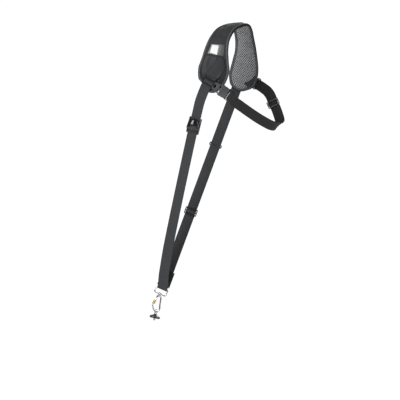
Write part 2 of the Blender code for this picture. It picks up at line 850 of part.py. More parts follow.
def make_tab(name, run, share, step, per_metre, length, tail, material):
    """A short webbing from the upper bar of a loop to the pad, folded round the bar, with a sewn tail."""
    bar, along, across, out = loop_bar(run, share, step, LOOP_WIRE)
    bar = bar + along * LOOP_GAP
    radius = bend_radius(LOOP_WIRE)
    first = share + LOOP_GAP * per_metre
    stations = []
    near = WEB_THICK + 2 * FIT
    for i in range(6):
        place = (6 - i) / 6
        centre, _, wide, up = run_station(run, first + tail * per_metre * place, step)
        lift = near + (2 * radius - near) * (1 - smooth_step(place * 1.5))
        stations.append((centre + up * lift, wide, -up))
    stations += fold(bar, across, out, radius, -180, -1)
    count = max(4, round(length / 0.018))
    for i in range(1, count + 1):
        centre, _, wide, up = run_station(run, first + length * per_metre * i / count, step)
        stations.append((centre, wide, up))
    return make_ribbon(name, stations, material)


def make_underarm(material):
    place = buckle_place()
    right, up, out = (place.to_3x3() @ Vector(axis) for axis in ((1, 0, 0), (0, 1, 0), (0, 0, 1)))
    bar = place @ Vector((end_bar_x(), 0, 0))
    radius = math.hypot(END_BAR / 2, TAIL_THICK / 2) + FIT + WEB_THICK / 2
    tail = [(bar + right * (radius * k) - out * radius, up, -out) for k in (2.0, 1.0)]
    stations = tail + fold(bar, up, -out, radius, 180, 1, steps=8)
    fine = 0.12
    per_metre = underarm_per_metre()
    reach = BAR_PITCH * per_metre
    values = fine_spread(0.0, LAST_UNDERARM, 0.34, UNDERARM_SLIDER, reach, reach / 6)
    stations += woven(underarm_run, values, fine, UNDERARM_SLIDER, per_metre, -1)
    bar, _, across, out = loop_bar(underarm_run, LAST_UNDERARM + 0.1, fine, LOOP_WIRE)
    stations += fold(bar, across, -out, bend_radius(LOOP_WIRE), -180, -1)
    stations += returning(underarm_run, LAST_UNDERARM, UNDERARM_SLIDER, fine, LOOP_WIRE, UNDERARM_BULGE)
    return make_ribbon("underarm_webbing", stations, material)


def underarm_per_metre():
    """Rows for each metre of the underarm strap near its slider."""
    near = underarm_run(UNDERARM_SLIDER - 0.5)[0]
    far = underarm_run(UNDERARM_SLIDER + 0.5)[0]
    return 1 / (far - near).length


# Buckle


def buckle_place():
    """Buckle frame at the middle bar: X along the buckle, Y up the webbing, Z towards the viewer."""
    return hardware_place(front_run, -BUCKLE_UP / run_length(), 0.002, BAR_LIFT)


def frame_edge():
    return WEB_WIDTH / 2 + LOOSE + BAR


def socket_x():
    return frame_edge() + SOCKET_OFFSET


def end_bar_x():
    return socket_x() + SOCKET_LENGTH + SOCKET_TAIL - END_BAR / 2


def make_buckle_frame(material):
    place = buckle_place()
    frame = make_slider("buckle_frame", place, material, bevel=False)
    neck = frame_edge() + NECK_LENGTH
    inner = SOCKET_HALF_WIDTH - SOCKET_WALL - FIT
    window = socket_x() + PRONG_START
    arm_end = window + PRONG_LENGTH
    upper = [
        (frame_edge() - BAR / 2, inner * 0.72),
        (neck, inner * 0.88),
        (window, inner),
        (window + FIT, SOCKET_HALF_WIDTH + FIT),
        (window + PRONG_LENGTH * 0.45, SOCKET_HALF_WIDTH),
        (arm_end, inner - FIT),
        (arm_end, inner - ARM_WIDTH),
        (neck + ARM_WIDTH, inner * 0.88 - ARM_WIDTH),
        (neck, inner * 0.88 - ARM_WIDTH * 1.5),
        (neck, TONGUE_HALF_WIDTH),
        (arm_end, TONGUE_HALF_WIDTH * 0.9),
    ]
    outline = upper + [(x, -y) for x, y in reversed(upper)]
    arms = make_plate("buckle_arms", outline, MALE_THICK, material)
    hole_start = frame_edge() + FIT
    hole_half = inner * 0.42
    hole_outline = (
        (hole_start, -hole_half),
        (hole_start + NECK_HOLE, -hole_half * 0.5),
        (hole_start + NECK_HOLE, hole_half * 0.5),
        (hole_start, hole_half),
    )
    hole = make_plate("neck_hole", hole_outline, 3 * MALE_THICK, material)
    for helper, operation in ((arms, "UNION"), (hole, "DIFFERENCE")):
        helper.matrix_world = place
        add_boolean(frame, helper, operation)
    round_edges(frame, BAR * 0.18)
    return frame


def make_buckle_socket(material):
    place = buckle_place()
    x = socket_x()
    end = x + SOCKET_LENGTH
    half = SOCKET_HALF_WIDTH
    body = make_box("buckle_socket", (x, -half, -SOCKET_THICK / 2), (end, half, SOCKET_THICK / 2), material)
    body.matrix_world = place
    tail = make_box("socket_tail", (end - SOCKET_WALL, -half, -TAIL_THICK / 2),
                    (end + SOCKET_TAIL, half, TAIL_THICK / 2), material)
    inside = half - SOCKET_WALL
    depth = MALE_THICK / 2 + FIT
    cavity = make_box("socket_cavity", (x - SOCKET_WALL, -inside, -depth),
                      (end - 2 * SOCKET_WALL, inside, depth), material)
    window = make_box("socket_window", (x + PRONG_START - FIT, -2 * half, -depth),
                      (x + PRONG_START + PRONG_LENGTH + FIT, 2 * half, depth), material)
    slot_end = end + SOCKET_TAIL - END_BAR
    slot = make_box("socket_slot", (slot_end - SLOT_LENGTH, LOOSE - half + FIT, -half),
                    (slot_end, half - LOOSE - FIT, half), material)
    tail.matrix_world = place
    add_boolean(body, tail, "UNION")
    for helper in (cavity, window, slot):
        helper.matrix_world = place
        add_boolean(body, helper, "DIFFERENCE")
    round_edges(body, SOCKET_WALL * 0.3)
    return body


def make_plate(name, outline, thick, material):
    """A flat plate of the given outline, centred on local Z."""
    mesh = bmesh.new()
    face = mesh.faces.new([mesh.verts.new((x, y, -thick / 2)) for x, y in outline])
    raised = bmesh.ops.extrude_face_region(mesh, geom=[face])["geom"]
    points = [item for item in raised if isinstance(item, bmesh.types.BMVert)]
    bmesh.ops.translate(mesh, verts=points, vec=(0, 0, thick))
    return make_object(name, mesh, material)


# Cam locks


def cam_pin_place():
    """Height along the webbing and outwards of the lever's pin."""
    return CAM_HALF_LENGTH - CAM_FOOT, WEB_THICK / 2 + CAM_GAP + CAM_RADIUS


def make_cam_body(name, place, material):
    """A channel round the webbing, its walls carrying the pin at the upper end."""
    pin_y, pin_z = cam_pin_place()
    inner = WEB_WIDTH / 2 + LOOSE
    outer = inner + CAM_WALL
    floor = -WEB_THICK / 2 - CAM_GAP
    low = floor - CAM_PLATE
    diagonal = CAM_WALL_RIM * math.sqrt(0.5)
    rows = (
        (-CAM_HALF_LENGTH, pin_z * 0.55),
        (-CAM_HALF_LENGTH / 2, pin_z * 0.95),
        (pin_y - 2 * CAM_WALL_RIM, pin_z + CAM_WALL_RIM * 0.9),
        (pin_y, pin_z + CAM_WALL_RIM),
        (pin_y + diagonal, pin_z + diagonal),
        (pin_y + CAM_WALL_RIM, pin_z * 0.75),
        (CAM_HALF_LENGTH, pin_z * 0.55),
    )
    rings = []
    for y, top in rows:
        outside = [(-outer, top), (-outer, low), (outer, low), (outer, top)]
        inside = [(inner, top), (inner, floor), (-inner, floor), (-inner, top)]
        rings.append([Vector((x, y, z)) for x, z in outside + inside])
    mesh = bmesh.new()
    loft(mesh, rings)
    body = make_object(name, mesh, material, 30)
    body.matrix_world = place
    hole = make_cylinder(f"{name}_hole", CAM_PIN / 2 + RUN_FIT, -2 * outer, 2 * outer, "X", material,
                         centre=(0, pin_y, pin_z))
    hole.matrix_world = place
    add_boolean(body, hole, "DIFFERENCE")
    return body


def make_cam_pin(name, place, material):
    pin_y, pin_z = cam_pin_place()
    reach = WEB_WIDTH / 2 + LOOSE + CAM_WALL + FIT
    pin = make_cylinder(name, CAM_PIN / 2, -reach, reach, "X", material, 12, centre=(0, pin_y, pin_z))
    pin.matrix_world = place
    return pin


def make_cam_lever(name, place, material):
    """A domed plate on a knuckle; its origin lies on the pin."""
    pin_y, pin_z = cam_pin_place()
    under = CAM_WALL_RIM + FIT * 1.5
    mesh = bmesh.new()
    rings = []
    shares = (-1.0, -0.8, -0.4, 0.0, 0.4, 0.8, 1.0)
    for row in LEVER_ROWS:
        y = CAM_RADIUS - row["at"] * LEVER_LENGTH
        half = row["half"] * LEVER_HALF_WIDTH
        upper = []
        for share in shares:
            dome = row["dome"] * LEVER_DOME * (1 - abs(share) ** 2.4)
            upper.append(Vector((half * share, y, under + LEVER_EDGE + dome)))
        lower = [Vector((half * share, y, under)) for share in reversed(shares)]
        rings.append(upper + lower)
    loft(mesh, rings)
    lever = make_object(name, mesh, material, 50)
    half = WEB_WIDTH / 2 + LOOSE - FIT
    knuckle = make_cylinder(f"{name}_knuckle", CAM_RADIUS, -half, half, "X", material, 20)
    bore = make_cylinder(f"{name}_bore", CAM_PIN / 2 + RUN_FIT, -2 * half, 2 * half, "X", material, 16)
    pivot = place @ Matrix.Translation((0, pin_y, pin_z))
    for obj in (lever, knuckle, bore):
        obj.matrix_world = pivot
    add_boolean(lever, knuckle, "UNION")
    add_boolean(lever, bore, "DIFFERENCE")
    return lever


# Metal end


def make_strap_ring(material):
    along, down, out = ring_axes()
    half_width = WEB_WIDTH / 2 + LOOSE + RING_WIRE / 2
    centre = ring_top() + down * (RING_PITCH / 2)
    place = frame_matrix(centre, along, down, out)
    ring = make_loop("strap_ring", place, half_width, RING_PITCH / 2, RING_WIRE, material)
    hook = hook_place()
    high = -FIT
    boss = make_cylinder("ring_boss", BOSS_RADIUS, high - BOSS_HEIGHT, high, "Y", material, 16)
    bore = make_cylinder("ring_bore", POST_RADIUS + RUN_FIT, high - 3 * BOSS_HEIGHT, high + BOSS_HEIGHT, "Y",
                         material)
    for helper in (boss, bore):
        helper.matrix_world = hook
    add_boolean(ring, boss, "UNION")
    add_boolean(ring, bore, "DIFFERENCE")
    return ring


def hook_point(row):
    return Vector((row["right"] * HOOK_WIDTH, HOOK_TOP + row["down"] * HOOK_LENGTH, 0))


def hook_path():
    points = []
    last = len(HOOK_ROWS) - 1
    for i in range(2 * last + 1):
        at = i / 2
        row = {"right": through(HOOK_ROWS, "right", at), "down": through(HOOK_ROWS, "down", at)}
        points.append(hook_point(row))
    return points


def gate_place():
    """Gate frame at its pivot: Y along the gate towards the nose, Z away from the viewer."""
    pivot = hook_point(HOOK_ROWS[0])
    nose = hook_point(HOOK_ROWS[-1])
    way = (nose - pivot).normalized()
    out = Vector((0, 0, 1))
    local = frame_matrix(pivot, way.cross(out), way, out)
    return hook_place() @ local


def make_hook_body(material):
    """The bent wire, with the swivel post on top and a thin lug for the gate."""
    mesh = bmesh.new()
    path = hook_path()
    sweep(mesh, path, HOOK_WIRE / 2, 8)
    body = make_object("hook_body", mesh, material, 50)
    place = hook_place()
    body.matrix_world = place
    gate = gate_place()
    trims = []
    for side in (-1, 1):
        low, high = sorted((side * (LUG_THICK / 2), side * HOOK_WIRE))
        box = make_box(f"lug_trim_{side}", (-LUG_CLEAR, -LUG_CLEAR, low), (LUG_CLEAR, LUG_CLEAR, high), material)
        box.matrix_world = gate
        trims.append(box)
    lug = make_cylinder("hook_lug", LUG_RADIUS, -LUG_THICK / 2, LUG_THICK / 2, "Z", material, 16)
    hole = make_cylinder("lug_hole", GATE_PIN / 2 + RUN_FIT, -HOOK_WIRE, HOOK_WIRE, "Z", material, 12)
    lug.matrix_world = gate
    hole.matrix_world = gate
    shoulder = make_cylinder("hook_shoulder", SHOULDER_RADIUS, 0, HOOK_TOP + HOOK_WIRE / 3, "Y", material, 16)
    post = make_cylinder("hook_post", POST_RADIUS, -BOSS_HEIGHT - 3 * FIT, HOOK_TOP, "Y", material, 16)
    head_low = -BOSS_HEIGHT - 2 * FIT
    head = make_cylinder("post_head", POST_HEAD, head_low - POST_HEAD_HEIGHT, head_low, "Y", material, 16)
    for helper in (shoulder, post, head):
        helper.matrix_world = place
    for helper in (shoulder, post, head):
        add_boolean(body, helper, "UNION")
    for trim in trims:
        add_boolean(body, trim, "DIFFERENCE")
    add_boolean(body, lug, "UNION")
    add_boolean(body, hole, "DIFFERENCE")
    return body


def make_gate(material):
    """A rod with a forked head; its origin lies on its pin."""
    radius = GATE_WIRE / 2
    gate = make_cylinder("hook_gate", radius, 0.0, GATE_LENGTH, "Y", material, 12)
    head = make_cylinder("gate_head", LUG_RADIUS, -radius * 1.15, radius * 1.15, "Z", material, 16)
    gap = LUG_THICK / 2 + FIT
    deep = LUG_RADIUS + 2 * FIT
    slot = make_box("gate_slot", (-deep, -deep, -gap), (deep, deep, gap), material)
    hole = make_cylinder("gate_hole", GATE_PIN / 2 + RUN_FIT, -GATE_WIRE, GATE_WIRE, "Z", material, 12)
    for obj in (gate, head, slot, hole):
        obj.matrix_world = gate_place()
    add_boolean(gate, head, "UNION")
    add_boolean(gate, slot, "DIFFERENCE")
    add_boolean(gate, hole, "DIFFERENCE")
    return gate


def make_gate_pin(material):
    reach = GATE_WIRE / 2 * 1.15 + FIT
    pin = make_cylinder("gate_pin", GATE_PIN / 2, -reach, reach, "Z", material, 12)
    pin.matrix_world = gate_place()
    return pin


def make_lock_sleeve(material):
    inner = GATE_WIRE / 2 + RUN_FIT
    low, high = SLEEVE_START, SLEEVE_START + SLEEVE_LENGTH
    sleeve = make_cylinder("lock_sleeve", inner + SLEEVE_WALL, low, high, "Y", material, 20)
    bore = make_cylinder("sleeve_bore", inner, low - SLEEVE_LENGTH, high + SLEEVE_LENGTH, "Y", material, 16)
    for obj in (sleeve, bore):
        obj.matrix_world = gate_place()
    add_boolean(sleeve, bore, "DIFFERENCE")
    return sleeve


def eye_place():
    """Frame of the fastener's eye: Y down, Z along the eye's own axis."""
    centre = hook_point(HOOK_ROWS[8]) - Vector((0, EYE_UP, 0))
    return hook_place() @ Matrix.Translation(centre) @ Matrix.Rotation(EYE_TURN, 4, "Y")


def make_fastener(eye_material, base_material, washer_material):
    """Eye and stem in one casting, a conical base, a rubber washer and the threaded stud."""
    place = eye_place()
    centre_radius = EYE_INSIDE / 2 + EYE_WIRE / 2
    mesh = bmesh.new()
    path = [Matrix.Rotation(math.radians(turn), 3, "Z") @ Vector((centre_radius, 0, 0)) for turn in range(0, 360, 24)]
    sweep(mesh, path, EYE_WIRE / 2, 8, closed=True)
    eye = make_object("fastener_eye", mesh, eye_material, 50)
    eye_low = centre_radius + EYE_WIRE / 2
    base_top = eye_low + STEM_LENGTH
    skirt_top = base_top + BASE_HEIGHT * 0.62
    base_end = base_top + BASE_HEIGHT
    profile = (
        (base_top, STEM_RADIUS * 1.35),
        (base_top + BASE_HEIGHT * 0.20, STEM_RADIUS * 1.6),
        (skirt_top, BASE_RADIUS * 0.94),
        (base_end - BASE_HEIGHT * 0.10, BASE_RADIUS),
        (base_end, BASE_RADIUS * 0.97),
    )
    bore = STEM_RADIUS + FIT
    stem_end = base_top + BASE_HEIGHT * 0.5
    stem = make_cylinder("eye_stem", STEM_RADIUS, eye_low - EYE_WIRE * 0.7, stem_end, "Y", eye_material)
    base = make_turned("fastener_base", profile, base_material)
    hole = make_cylinder("base_hole", bore, base_top - BASE_HEIGHT, stem_end + FIT, "Y", base_material)
    washer_low = base_end + FIT
    washer = make_cylinder("fastener_washer", BASE_RADIUS * 0.92, washer_low, washer_low + WASHER_THICK, "Y",
                           washer_material, 24)
    washer_hole = make_cylinder("washer_hole", STUD_RADIUS + FIT, washer_low - BASE_HEIGHT,
                                washer_low + BASE_HEIGHT, "Y", washer_material)
    stud_end = washer_low + WASHER_THICK + STUD_LENGTH
    stud = make_cylinder("fastener_stud", STUD_RADIUS, base_end + FIT, stud_end, "Y", eye_material, 16)
    for obj in (eye, stem, base, hole, washer, washer_hole, stud):
        obj.matrix_world = place
    add_boolean(eye, stem, "UNION")
    add_boolean(base, hole, "DIFFERENCE")
    add_boolean(washer, washer_hole, "DIFFERENCE")


def make_turned(name, profile, material, sides=24):
    """A solid turned about local Y from heights and radii."""
    mesh = bmesh.new()
    rings = []
    for height, radius in profile:
        rings.append([
            mesh.verts.new((
                radius * math.cos(2 * math.pi * k / sides),
                height,
                radius * math.sin(2 * math.pi * k / sides),
            ))
            for k in range(sides)
        ])
    for first, second in zip(rings, rings[1:]):
        for k in range(sides):
            j = (k + 1) % sides
            mesh.faces.new((first[k], first[j], second[j], second[k]))
    mesh.faces.new(rings[0])
    mesh.faces.new(rings[-1])
    return make_object(name, mesh, material, 35)


def make_loops_and_sliders(material):
    step = 0.002
    make_slider("strap_slider", hardware_place(rear_run, SLIDER_SHARE, step, -BAR_LIFT), material)
    make_slider("underarm_slider", hardware_place(underarm_run, UNDERARM_SLIDER, 0.12, -BAR_LIFT), material)
    half_width = WEB_WIDTH / 2 + LOOSE + LOOP_WIRE / 2
    for name, run, share, pace in (
        ("adjuster_loop", rear_run, LOOP_SHARE, step),
        ("underarm_loop", underarm_run, LAST_UNDERARM + 0.1, 0.12),
    ):
        bar, along, across, out = loop_bar(run, share, pace, LOOP_WIRE)
        place = frame_matrix(bar + along * (LOOP_GAP / 2), across, -along, out)
        make_loop(name, place, half_width, LOOP_GAP / 2, LOOP_WIRE, material)


def build():
    clear_scene()
    nylon = make_material("nylon_shell", (0.028, 0.029, 0.031), 0.75)
    stretch = make_material("stretch_panel", (0.022, 0.023, 0.025), 0.62)
    webbing = make_material("webbing", (0.035, 0.036, 0.038), 0.70)
    binding = make_material("binding_tape", (0.085, 0.087, 0.090), 0.80)
    mesh_cloth = make_material("spacer_mesh", (0.240, 0.245, 0.250), 0.85)
    label = make_material("label_band", (0.170, 0.172, 0.176), 0.55)
    patch = make_material("label_patch", (0.800, 0.800, 0.790), 0.60)
    plastic = make_material("black_plastic", (0.015, 0.015, 0.016), 0.28)
    buckle = make_material("buckle_plastic", (0.120, 0.122, 0.125), 0.32)
    steel = make_material("polished_steel", (0.720, 0.725, 0.735), 0.16, 1.0)
    pin_steel = make_material("pin_steel", (0.420, 0.420, 0.430), 0.35, 1.0)
    brass = make_material("brass", (0.660, 0.520, 0.280), 0.25, 1.0)
    base = make_material("base_coating", (0.040, 0.040, 0.043), 0.35)
    rubber = make_material("rubber", (0.020, 0.020, 0.021), 0.80)

    make_layer("pad_shell", nylon, lambda *place: FIT / 2, shell_top)
    make_layer("pad_lining", mesh_cloth, lambda *place: -FIT / 2, lambda *place: -lining_depth(*place))
    make_binding(binding)
    make_panel("label_band", LABEL_ROWS, label, PANEL_GAP, PANEL_THICK)
    make_panel("label_patch", PATCH_ROWS, patch, PANEL_GAP + PANEL_THICK + FIT, PANEL_THICK, columns=4)
    make_panel("pad_flap", FLAP_ROWS, stretch, PANEL_GAP, FLAP_THICK, columns=9, lift=flap_lift)

    make_main_webbing(webbing)
    unit = 1 / run_length()
    tab_length = (1 - LOOP_SHARE) * run_length() + REAR_LEAD
    make_tab("rear_tab", rear_run, LOOP_SHARE, 0.002, unit, tab_length, FOLD_TAIL, webbing)
    make_underarm(webbing)
    per_metre = 1 / (underarm_run(LAST_UNDERARM)[0] - underarm_run(LAST_UNDERARM - 1)[0]).length
    loop_at = LAST_UNDERARM + 0.1
    make_tab("underarm_tab", underarm_run, loop_at, 0.12, per_metre, TAB_LENGTH, FOLD_TAIL / 3, webbing)
    make_loops_and_sliders(plastic)
    make_buckle_frame(buckle)
    make_buckle_socket(buckle)

    for side, run, share in (("front", front_run, CAM_FRONT_SHARE), ("rear", rear_run, CAM_REAR_SHARE)):
        place = hardware_place(run, share, 0.01, upside=True)
        make_cam_body(f"cam_body_{side}", place, plastic)
        make_cam_pin(f"cam_pin_{side}", place, pin_steel)
        make_cam_lever(f"cam_lever_{side}", place, plastic)

    make_strap_ring(steel)
    make_hook_body(steel)
    make_gate(steel)
    make_gate_pin(steel)
    make_lock_sleeve(brass)
    make_fastener(steel, base, rubber)


build()
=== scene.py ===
"""Camera sling strap: the looks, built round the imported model."""

import math

import bmesh
import bpy
from mathutils import Matrix, Vector


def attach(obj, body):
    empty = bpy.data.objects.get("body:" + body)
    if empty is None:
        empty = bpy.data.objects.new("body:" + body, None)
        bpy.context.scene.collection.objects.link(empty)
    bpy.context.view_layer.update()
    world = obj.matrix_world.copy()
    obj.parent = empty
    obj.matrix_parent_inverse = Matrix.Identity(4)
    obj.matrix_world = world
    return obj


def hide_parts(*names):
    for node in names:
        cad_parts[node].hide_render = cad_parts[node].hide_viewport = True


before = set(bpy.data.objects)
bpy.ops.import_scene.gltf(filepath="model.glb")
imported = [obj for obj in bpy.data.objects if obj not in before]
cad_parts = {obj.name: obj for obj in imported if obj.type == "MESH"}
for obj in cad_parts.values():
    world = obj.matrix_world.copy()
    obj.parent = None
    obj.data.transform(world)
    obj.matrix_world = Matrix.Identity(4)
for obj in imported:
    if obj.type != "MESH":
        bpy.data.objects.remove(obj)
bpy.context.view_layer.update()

# Sizes are in metres. A share counts along a run, from 0 at its start to 1 at its end.
# Clearances, the webbing, and the bars and loops that it passes
FIT = 0.0003
LOOSE = 0.0008
WEB_WIDTH = 0.0254
WEB_THICK = 0.0016
BAR = 0.0024
BAR_PITCH = 0.0075
BAR_LIFT = 0.0029
LOOP_WIRE = 0.0028
LOOP_GAP = 0.0072

# Shoulder pad, and the panels sewn on it
PAD_REACH = 0.077
PAD_DEPTH = 0.063
PAD_DROP = 0.169
PAD_HALF_WIDTH = 0.038
PAD_CUP = 0.0024
PAD_MARGIN = 0.0075
SHELL_EDGE = 0.0025
SHELL_CROWN = 0.0050
LINING_EDGE = 0.0015
LINING_CROWN = 0.0030
CROWN_RUN = 0.010
PANEL_GAP = 0.0005
PANEL_THICK = 0.0010
FLAP_THICK = 0.0015

# Front and rear run of the main strap, and the places of the hardware on them
RING_SIDE = 0.1890
RING_DROP = 0.6575
FRONT_BOW = 0.0090
RUN_BOW = 0.0060
FRONT_LEAVE = 0.55
REAR_LEAVE = 0.50
REAR_LEAN = 20
LEAD_LENGTH = 0.0400
REAR_LEAD = 0.040
FOLD_TAIL = 0.024
SLIDER_SHARE = 0.382
LOOP_SHARE = 0.707
CAM_FRONT_SHARE = 0.195
CAM_REAR_SHARE = 0.048

# Underarm strap; its slider's place is counted in rows
UNDERARM_REACH = 0.105
UNDERARM_DEPTH = 0.062
UNDERARM_DROP = 0.2515
UNDERARM_SLIDER = 10.0
UNDERARM_BULGE = 0.0050
TAB_LENGTH = 0.026

# Ring and hook
RING_WIRE = 0.0035
RING_PITCH = 0.0156
RING_TILT = math.radians(23.5)
BOSS_HEIGHT = 0.0044
BOSS_RADIUS = 0.0045
HOOK_TILT = math.radians(12.6)
HOOK_WIDTH = 0.0120
HOOK_LENGTH = 0.0400
HOOK_TOP = 0.0030
HOOK_WIRE = 0.0040
POST_RADIUS = 0.0020
POST_HEAD = 0.0036
POST_HEAD_HEIGHT = 0.0018
SHOULDER_RADIUS = 0.0030

# Gate with its lugs, pin and sleeve
GATE_WIRE = 0.0038
GATE_LENGTH = 0.0240
GATE_PIN = 0.0016
LUG_THICK = 0.0015
LUG_RADIUS = 0.0026
LUG_CLEAR = 0.0031
SLEEVE_WALL = 0.0015
SLEEVE_LENGTH = 0.0105
SLEEVE_START = 0.0105

# Fastener in the hook
EYE_TURN = math.radians(50)
EYE_UP = 0.0012
EYE_WIRE = 0.0020
EYE_INSIDE = 0.0078
STEM_RADIUS = 0.0032
STEM_LENGTH = 0.0008
BASE_RADIUS = 0.0135
BASE_HEIGHT = 0.0090
WASHER_THICK = 0.0016
STUD_RADIUS = 0.0030
STUD_LENGTH = 0.0055

# Cam locks
CAM_HALF_LENGTH = 0.0205
CAM_FOOT = 0.0115
CAM_GAP = 0.0005
CAM_RADIUS = 0.0032
CAM_WALL = 0.0026
CAM_WALL_RIM = 0.0025
CAM_PLATE = 0.0020
CAM_PIN = 0.0026
LEVER_LENGTH = 0.0300
LEVER_HALF_WIDTH = 0.0160
LEVER_EDGE = 0.0014
LEVER_DOME = 0.0060

# Buckle; its lean is in degrees
BUCKLE_LEAN = 34
BUCKLE_UP = 0.0125
MALE_THICK = 0.0040
PRONG_START = 0.0030
PRONG_LENGTH = 0.0075
SOCKET_OFFSET = 0.0180
SOCKET_LENGTH = 0.0200
SOCKET_TAIL = 0.0110
SOCKET_HALF_WIDTH = 0.0152
SOCKET_THICK = 0.0092
SOCKET_WALL = 0.0016
SLOT_LENGTH = 0.0036
END_BAR = 0.0036
TAIL_THICK = 0.0044

# How finely the runs, the underarm strap and their folds are divided; their steps are shares or rows
RUN_STEP = 0.002
RUN_PACE = 0.006
ARM_STEP = 0.12
ARM_PACE = 0.11
FOLD_STEPS = 12
BAR_STEPS = 12


def table(keys, *rows):
    """Rows of numbers under the given keys."""
    return [dict(zip(keys.split(), row)) for row in rows]


# The pad from its front end over the shoulder to its rear end: x, y and z in shares of its
# reach, depth and drop, half in shares of its half width, and turn in degrees.
PAD_ROWS = table(
    "x y z half turn",
    (-1.020, -0.985, -0.985, 0.32, 0),
    (-0.909, -0.990, -0.911, 0.64, 0),
    (-0.851, -1.000, -0.831, 0.88, 0),
    (-0.786, -1.000, -0.675, 1.00, -3),
    (-0.747, -0.985, -0.538, 0.88, -6),
    (-0.695, -0.950, -0.367, 0.755, -12),
    (-0.584, -0.840, -0.201, 0.67, -20),
    (-0.364, -0.540, -0.062, 0.66, -27),
    (0.000, 0.000, 0.000, 0.67, -31),
    (0.149, 0.500, -0.062, 0.65, -27),
    (0.224, 0.825, -0.213, 0.63, -20),
    (0.255, 0.940, -0.390, 0.69, -12),
    (0.240, 0.985, -0.533, 0.80, -6),
    (0.208, 1.000, -0.675, 0.895, 0),
    (0.156, 0.985, -0.805, 0.90, 0),
    (0.091, 0.970, -0.905, 0.72, 0),
    (0.052, 0.955, -0.985, 0.30, 0),
)

# The front run by its share of the way down: bow to the left, lean in degrees, tip in depth.
FRONT_ROWS = table(
    "at bow lean tip",
    (0.00, 0.00, 34, 0.08),
    (0.07, 0.70, 23, -0.14),
    (0.15, 0.85, 14, -0.30),
    (0.24, 0.98, 14, -0.30),
    (0.54, 1.00, 11, -0.32),
    (0.80, 0.85, 12, -0.25),
    (0.93, 0.45, 17, -0.10),
    (0.985, 0.05, 22, 0.00),
)

# The underarm strap from the buckle round the side to the pad's rear half: x, y and z in shares
# of its reach, depth and drop, lean in degrees, tip in depth.
UNDERARM_ROWS = table(
    "x y z lean tip",
    (-0.100, -1.18, -0.755, 56, 0.00),
    (0.020, -1.05, -0.789, 56, 0.00),
    (0.183, -0.82, -0.838, 56, 0.00),
    (0.412, -0.54, -0.904, 58, 0.00),
    (0.652, -0.25, -0.965, 60, -0.05),
    (0.836, 0.02, -1.000, 56, -0.10),
    (0.960, 0.27, -0.998, 44, -0.10),
    (1.000, 0.50, -0.957, 30, -0.10),
    (0.967, 0.68, -0.899, 20, -0.15),
    (0.898, 0.82, -0.819, 18, -0.20),
    (0.843, 0.90, -0.775, 23, -0.25),
    (0.774, 0.99, -0.707, 34, -0.30),
    (0.690, 1.07, -0.657, 44, -0.30),
    (0.580, 1.13, -0.620, 52, -0.25),
    (0.480, 1.16, -0.592, 56, -0.20),
)

# The hook's wire from the gate's pivot round to its nose, in shares of its width and length.
HOOK_ROWS = table(
    "right down",
    (-0.39, 0.025),
    (-0.15, -0.005),
    (0.15, 0.005),
    (0.36, 0.070),
    (0.45, 0.300),
    (0.52, 0.550),
    (0.60, 0.800),
    (0.42, 0.950),
    (0.00, 1.000),
    (-0.42, 0.945),
    (-0.74, 0.815),
    (-1.02, 0.650),
)

PANEL_KEYS = "left_x left_z right_x right_z"

# Left and right edges of the label band, the square on it and the stretch flap, from the top
# down, in shares of the pad's reach and drop.
LABEL_ROWS = table(
    PANEL_KEYS,
    (-0.851, -0.283, -0.425, -0.293),
    (-0.905, -0.350, -0.440, -0.375),
    (-0.985, -0.415, -0.462, -0.462),
)

PATCH_ROWS = table(
    PANEL_KEYS,
    (-0.815, -0.292, -0.600, -0.302),
    (-0.860, -0.350, -0.630, -0.372),
    (-0.895, -0.405, -0.665, -0.440),
)

FLAP_ROWS = table(
    PANEL_KEYS,
    (-1.010, -0.435, -0.462, -0.482),
    (-1.075, -0.530, -0.430, -0.570),
    (-1.110, -0.620, -0.430, -0.640),
    (-1.120, -0.680, -0.540, -0.720),
    (-1.080, -0.720, -0.660, -0.790),
)

# How much farther left the flap reaches in each of its rows
FLAP_NEARER = (0.01, 0.045, 0.055, 0.055, 0.03)

# The lever's plate from its root to its tip: half width and height in shares.
LEVER_ROWS = table(
    "at half dome",
    (0.00, 0.80, 0.20),
    (0.11, 0.82, 0.50),
    (0.16, 0.97, 0.68),
    (0.27, 1.00, 0.90),
    (0.45, 0.96, 1.00),
    (0.65, 0.84, 0.90),
    (0.82, 0.64, 0.66),
    (0.94, 0.38, 0.36),
    (1.00, 0.16, 0.12),
)


def through(rows, key, position):
    """Catmull-Rom value of one column at a position counted in rows."""
    last = len(rows) - 1
    start = min(int(position), last - 1)
    part = position - start
    values = [rows[min(max(start + step, 0), last)][key] for step in (-1, 0, 1, 2)]
    if start == 0:
        values[0] = 2 * values[1] - values[2]
    if start == last - 1:
        values[3] = 2 * values[2] - values[1]
    a, b, c, d = values
    return b + 0.5 * part * (c - a + part * (2 * a - 5 * b + 4 * c - d + part * (3 * (b - c) + d - a)))


def smooth_step(value):
    value = min(max(value, 0.0), 1.0)
    return value * value * (3 - 2 * value)


def frame_matrix(origin, right, down, out):
    """Places a piece built with X across, Y along and Z out."""
    matrix = Matrix((right, down, out)).transposed().to_4x4()
    matrix.translation = origin
    return matrix


def pad_section(position):
    """Centre, across and outward directions and half width of the pad at a position counted in rows."""
    crest = LINING_CROWN + FIT / 2

    def centre(at):
        return Vector((
            through(PAD_ROWS, "x", at) * PAD_REACH,
            through(PAD_ROWS, "y", at) * PAD_DEPTH,
            through(PAD_ROWS, "z", at) * PAD_DROP + crest,
        ))

    step = 0.02
    low = max(position - step, 0.0)
    high = min(position + step, len(PAD_ROWS) - 1)
    along = (centre(high) - centre(low)).normalized()
    turn = math.radians(through(PAD_ROWS, "turn", position))
    across = Vector((math.cos(turn), math.sin(turn), 0))
    across = (across - along * across.dot(along)).normalized()
    half = through(PAD_ROWS, "half", position) * PAD_HALF_WIDTH
    return centre(position), across, across.cross(along), half


